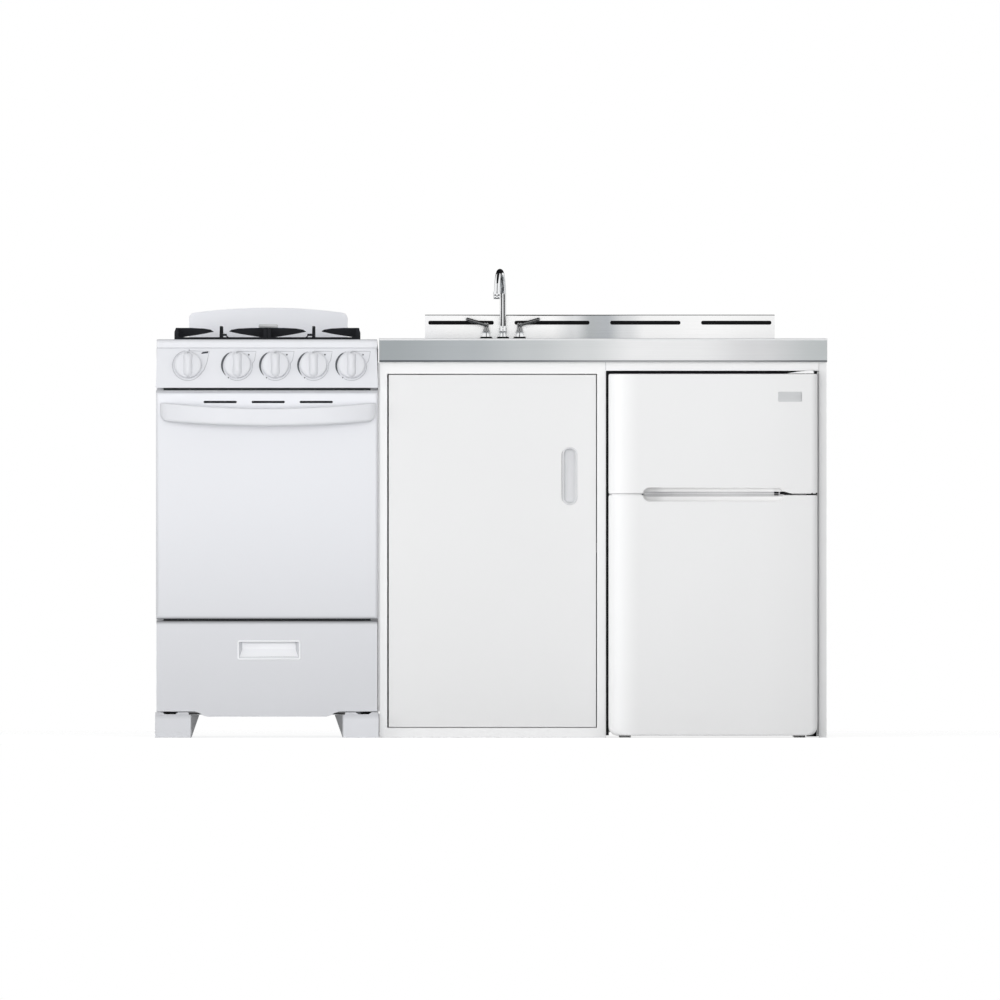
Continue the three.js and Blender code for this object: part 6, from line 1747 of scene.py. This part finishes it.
    def condenser(self, sizes):
        """The coil behind the cabinet, its wires and its four mounts."""
        low, high = box_of("fridge_cabinet")
        x0, x1 = low.x + 34 * MM, high.x - 34 * MM
        y = high.y + 9 * MM
        z0, z1 = 262 * MM, 800 * MM
        rows = sizes.coil_rows
        half = (z1 - z0) / (rows - 1) / 2
        path = []
        for row in range(rows):
            z = z0 + (z1 - z0) * row / (rows - 1)
            ends = (x0, x1) if row % 2 == 0 else (x1, x0)
            path += [Vector((x, y, z)) for x in ends]
            if row < rows - 1:
                way = 1 if row % 2 == 0 else -1
                for turn in range(1, 8):
                    angle = math.pi * turn / 8
                    x = ends[1] + way * half * math.sin(angle)
                    path.append(Vector((x, y, z + half * (1 - math.cos(angle)))))
        grown("condenser_tube", wire_tree, chains(path), "black_steel", "unit", "black_steel",
              sizes={"Radius": 2.4 * MM, "Sides": 8})
        wires = []
        count = 36
        for index in range(count + 1):
            x = x0 + 8 * MM + (x1 - x0 - 16 * MM) * index / count
            wires.append([Vector((x, y + 3.2 * MM, z0 - 14 * MM)), Vector((x, y + 3.2 * MM, z1 + 14 * MM))])
        grown("condenser_wires", wire_tree, chains(*wires), "black_steel", "unit", "black_steel",
              sizes={"Radius": 0.8 * MM, "Sides": 6})
        mounts = bmesh.new()
        for x in (x0 + 40 * MM, x1 - 40 * MM):
            for z in (z0 + 20 * MM, z1 - 20 * MM):
                block(mounts, (x - 8 * MM, high.y, z - 12 * MM),
                      (x + 8 * MM, y + 5 * MM, z + 12 * MM), 1 * MM)
        add_piece("condenser_mounts", mounts, "black_steel", "unit")


# ---------------------------------------------------------------- stage

class StageSettings(bpy.types.PropertyGroup):
    view_width: length("View width", "What the camera takes in across the front of the unit", 2.290)
    view_middle: length("View middle", "Middle of the view, from the middle of the unit", 0.0202)
    view_height: length("View height", "Middle of the view above the floor", 0.5441)
    floor_radius: length("Floor radius", "Radius of the pale floor", 3.4)
    lens: FloatProperty(name="Lens", description="Focal length in millimetres", default=1500.0)
    key_power: power("Key lamp", "Power of the lamp in front", 128.0)
    fill_power: power("Fill lamp", "Power of the lamp on the right", 27.0)
    side_power: power("Side lamp", "Power of the lamp on the left", 26.0)
    sky: FloatProperty(name="Sky", description="Strength of the soft light", default=0.50)
    floor_white: FloatProperty(name="Floor white", description="Glow the eye sees", default=0.75)


# Name, place, aim, width, and the setting that holds the power.
LAMPS = (
    ("Key", (-0.8, -5.5, 0.95), (0, 0, 0.6), 3.2, "key_power"),
    ("Fill", (3.0, -3.6, 1.1), (0, 0, 0.6), 2.4, "fill_power"),
    ("Side", (-3.5, -2.4, 1.0), (0.3, -0.3, 0.6), 2.2, "side_power"),
)
# Black cards for the bright metal to reflect: name, and the corners one after the other.
FLAGS = (
    ("Upper flag", ((-1.8, -2.0, 4.2), (1.8, -2.0, 4.2), (1.8, 1.6, 4.2), (-1.8, 1.6, 4.2))),
    ("Left flag", ((-2.75, -5.0, 0.0), (-3.2, -0.35, 0.0), (-3.2, -0.35, 1.5), (-2.75, -5.0, 1.5))),
    ("Right flag", ((1.9, -5.0, 0.0), (3.2, -0.35, 0.0), (3.2, -0.35, 1.5), (1.9, -5.0, 1.5))),
    ("Near flag", ((-0.11, -0.5, 1.17), (0.165, -0.5, 1.17), (0.165, -0.3, 2.0), (-0.11, -0.3, 2.0))),
    ("Rear flag", ((-1.2, 1.6, 0.96), (1.6, 1.6, 0.96), (1.6, 1.6, 4.2), (-1.2, 1.6, 4.2))),
)


class KITCHENETTE_OT_stage(bpy.types.Operator):
    """Pale floor, soft studio lamps and the camera"""
    bl_idname = "kitchenette.stage"
    bl_label = "Stage"

    def execute(self, context):
        settings = context.scene.kitchenette_stage
        self.camera(context, settings)
        self.world(context, settings)
        self.floor(settings)
        for name, spot, aim, width, setting in LAMPS:
            self.lamp(name, spot, aim, width, getattr(settings, setting))
        for name, corners in FLAGS:
            self.flag(name, corners)
        context.scene.view_settings.view_transform = "Standard"
        return {"FINISHED"}

    def camera(self, context, settings):
        """A very long lens, square to the front; the view is as wide as asked at the doors."""
        data = bpy.data.cameras.new("Camera")
        data.lens = settings.lens
        data.sensor_width = 36
        distance = settings.view_width * settings.lens / data.sensor_width
        data.clip_end = distance * 2
        camera = linked("Camera", data)
        camera.location = (settings.view_middle, DOOR_FACE_Y - distance, settings.view_height)
        camera.rotation_euler = (math.radians(90), 0, 0)
        context.scene.camera = camera

    def world(self, context, settings):
        """White for the eye and for reflections, dimmer as soft light."""
        world = bpy.data.worlds.new("Studio")
        world.use_nodes = True
        tree = Tree(world.node_tree)
        tree.tree.nodes.clear()
        strength = settings.sky + tree.shown() * (1 - settings.sky)
        sky = tree.node("ShaderNodeBackground", None, {"Color": (1, 1, 1, 1), "Strength": strength})
        tree.node("ShaderNodeOutputWorld", None, {"Surface": sky})
        context.scene.world = world

    def floor(self, settings):
        """A pale disc that fades out towards its rim."""
        coat = Finish("Pale floor")
        spot = coat.node("ShaderNodeTexCoord", output=OWN_PLACE)
        reach = coat.node("ShaderNodeVectorMath", {"operation": "LENGTH"}, {0: spot}, 1)
        start, end = settings.floor_radius * 0.45, settings.floor_radius * 0.97
        edge = coat.node("ShaderNodeMapRange", {"interpolation_type": "SMOOTHSTEP"},
                         {"Value": reach, "From Min": start, "From Max": end})
        grain = coat.noise(coat.place(), 40, 3)
        grey = coat.tint((0.45, 0.45, 0.45), 0.99 + grain * 0.02)
        pale = coat.node("ShaderNodeBsdfDiffuse", None, {"Color": grey})
        white = coat.node("ShaderNodeEmission", None, {"Strength": coat.shown() * settings.floor_white})
        lit = coat.node("ShaderNodeAddShader", None, {0: pale, 1: white})
        clear = coat.node("ShaderNodeBsdfTransparent")
        both = coat.node("ShaderNodeMixShader", None, {0: edge, 1: lit, 2: clear})
        coat.node("ShaderNodeOutputMaterial", None, {"Surface": both})
        form = bmesh.new()
        bmesh.ops.create_circle(form, cap_ends=True, segments=96, radius=settings.floor_radius)
        for vertex in form.verts:
            vertex.co.z = -0.4 * MM
        floor = linked("Floor", mesh_of(form, "Floor"))
        floor.data.materials.append(coat.material)

    def flag(self, name, corners):
        """A black card beside the lamps, which only bright metal shows."""
        form = bmesh.new()
        form.faces.new([form.verts.new(corner) for corner in corners])
        card = linked(name.replace(" ", "_"), mesh_of(form, name))
        card.data.materials.append(FINISHES["black_steel"])
        card.visible_camera = False
        card.visible_diffuse = False
        card.visible_shadow = False
        card.visible_transmission = False

    def lamp(self, name, spot, aim, width, energy):
        """A round lamp that reflections leave out."""
        data = bpy.data.lights.new(name, "AREA")
        data.energy = energy
        data.shape = "DISK"
        data.size = width
        lamp = linked(name, data)
        lamp.location = spot
        lamp.visible_glossy = False
        lamp.rotation_euler = (Vector(aim) - Vector(spot)).to_track_quat("-Z", "Y").to_euler()


# ---------------------------------------------------------------- add-on

PIECES = (
    KITCHENETTE_OT_plain_pieces,
    KITCHENETTE_OT_range_body,
    KITCHENETTE_OT_knobs,
    KITCHENETTE_OT_oven_door,
    KITCHENETTE_OT_hob,
    KITCHENETTE_OT_sink_cabinet,
    KITCHENETTE_OT_sink_top,
    KITCHENETTE_OT_faucet,
    KITCHENETTE_OT_refrigerator,
    KITCHENETTE_OT_stage,
)
SETTINGS = (
    ("kitchenette_range", RangeSizes),
    ("kitchenette_sink", SinkSizes),
    ("kitchenette_fridge", FridgeSizes),
    ("kitchenette_colours", Colours),
    ("kitchenette_stage", StageSettings),
)


class KITCHENETTE_PT_panel(bpy.types.Panel):
    """Lists the pieces and their sizes"""
    bl_idname = "KITCHENETTE_PT_panel"
    bl_label = "Kitchenette"
    bl_space_type = "VIEW_3D"
    bl_region_type = "UI"
    bl_category = "Kitchenette"

    def draw(self, context):
        for group, _ in SETTINGS:
            values = getattr(context.scene, group)
            box = self.layout.box()
            for name in values.__annotations__:
                box.prop(values, name)
        for piece in PIECES:
            self.layout.operator(piece.bl_idname)


def register():
    for name, group in SETTINGS:
        bpy.utils.register_class(group)
        setattr(bpy.types.Scene, name, PointerProperty(type=group))
    for piece in PIECES:
        bpy.utils.register_class(piece)
    bpy.utils.register_class(KITCHENETTE_PT_panel)


def unregister():
    bpy.utils.unregister_class(KITCHENETTE_PT_panel)
    for piece in reversed(PIECES):
        bpy.utils.unregister_class(piece)
    for name, group in reversed(SETTINGS):
        delattr(bpy.types.Scene, name)
        bpy.utils.unregister_class(group)


def main():
    register()
    for piece in PIECES:
        group, action = piece.bl_idname.split(".")
        getattr(getattr(bpy.ops, group), action)()


if __name__ == "__main__":
    main()
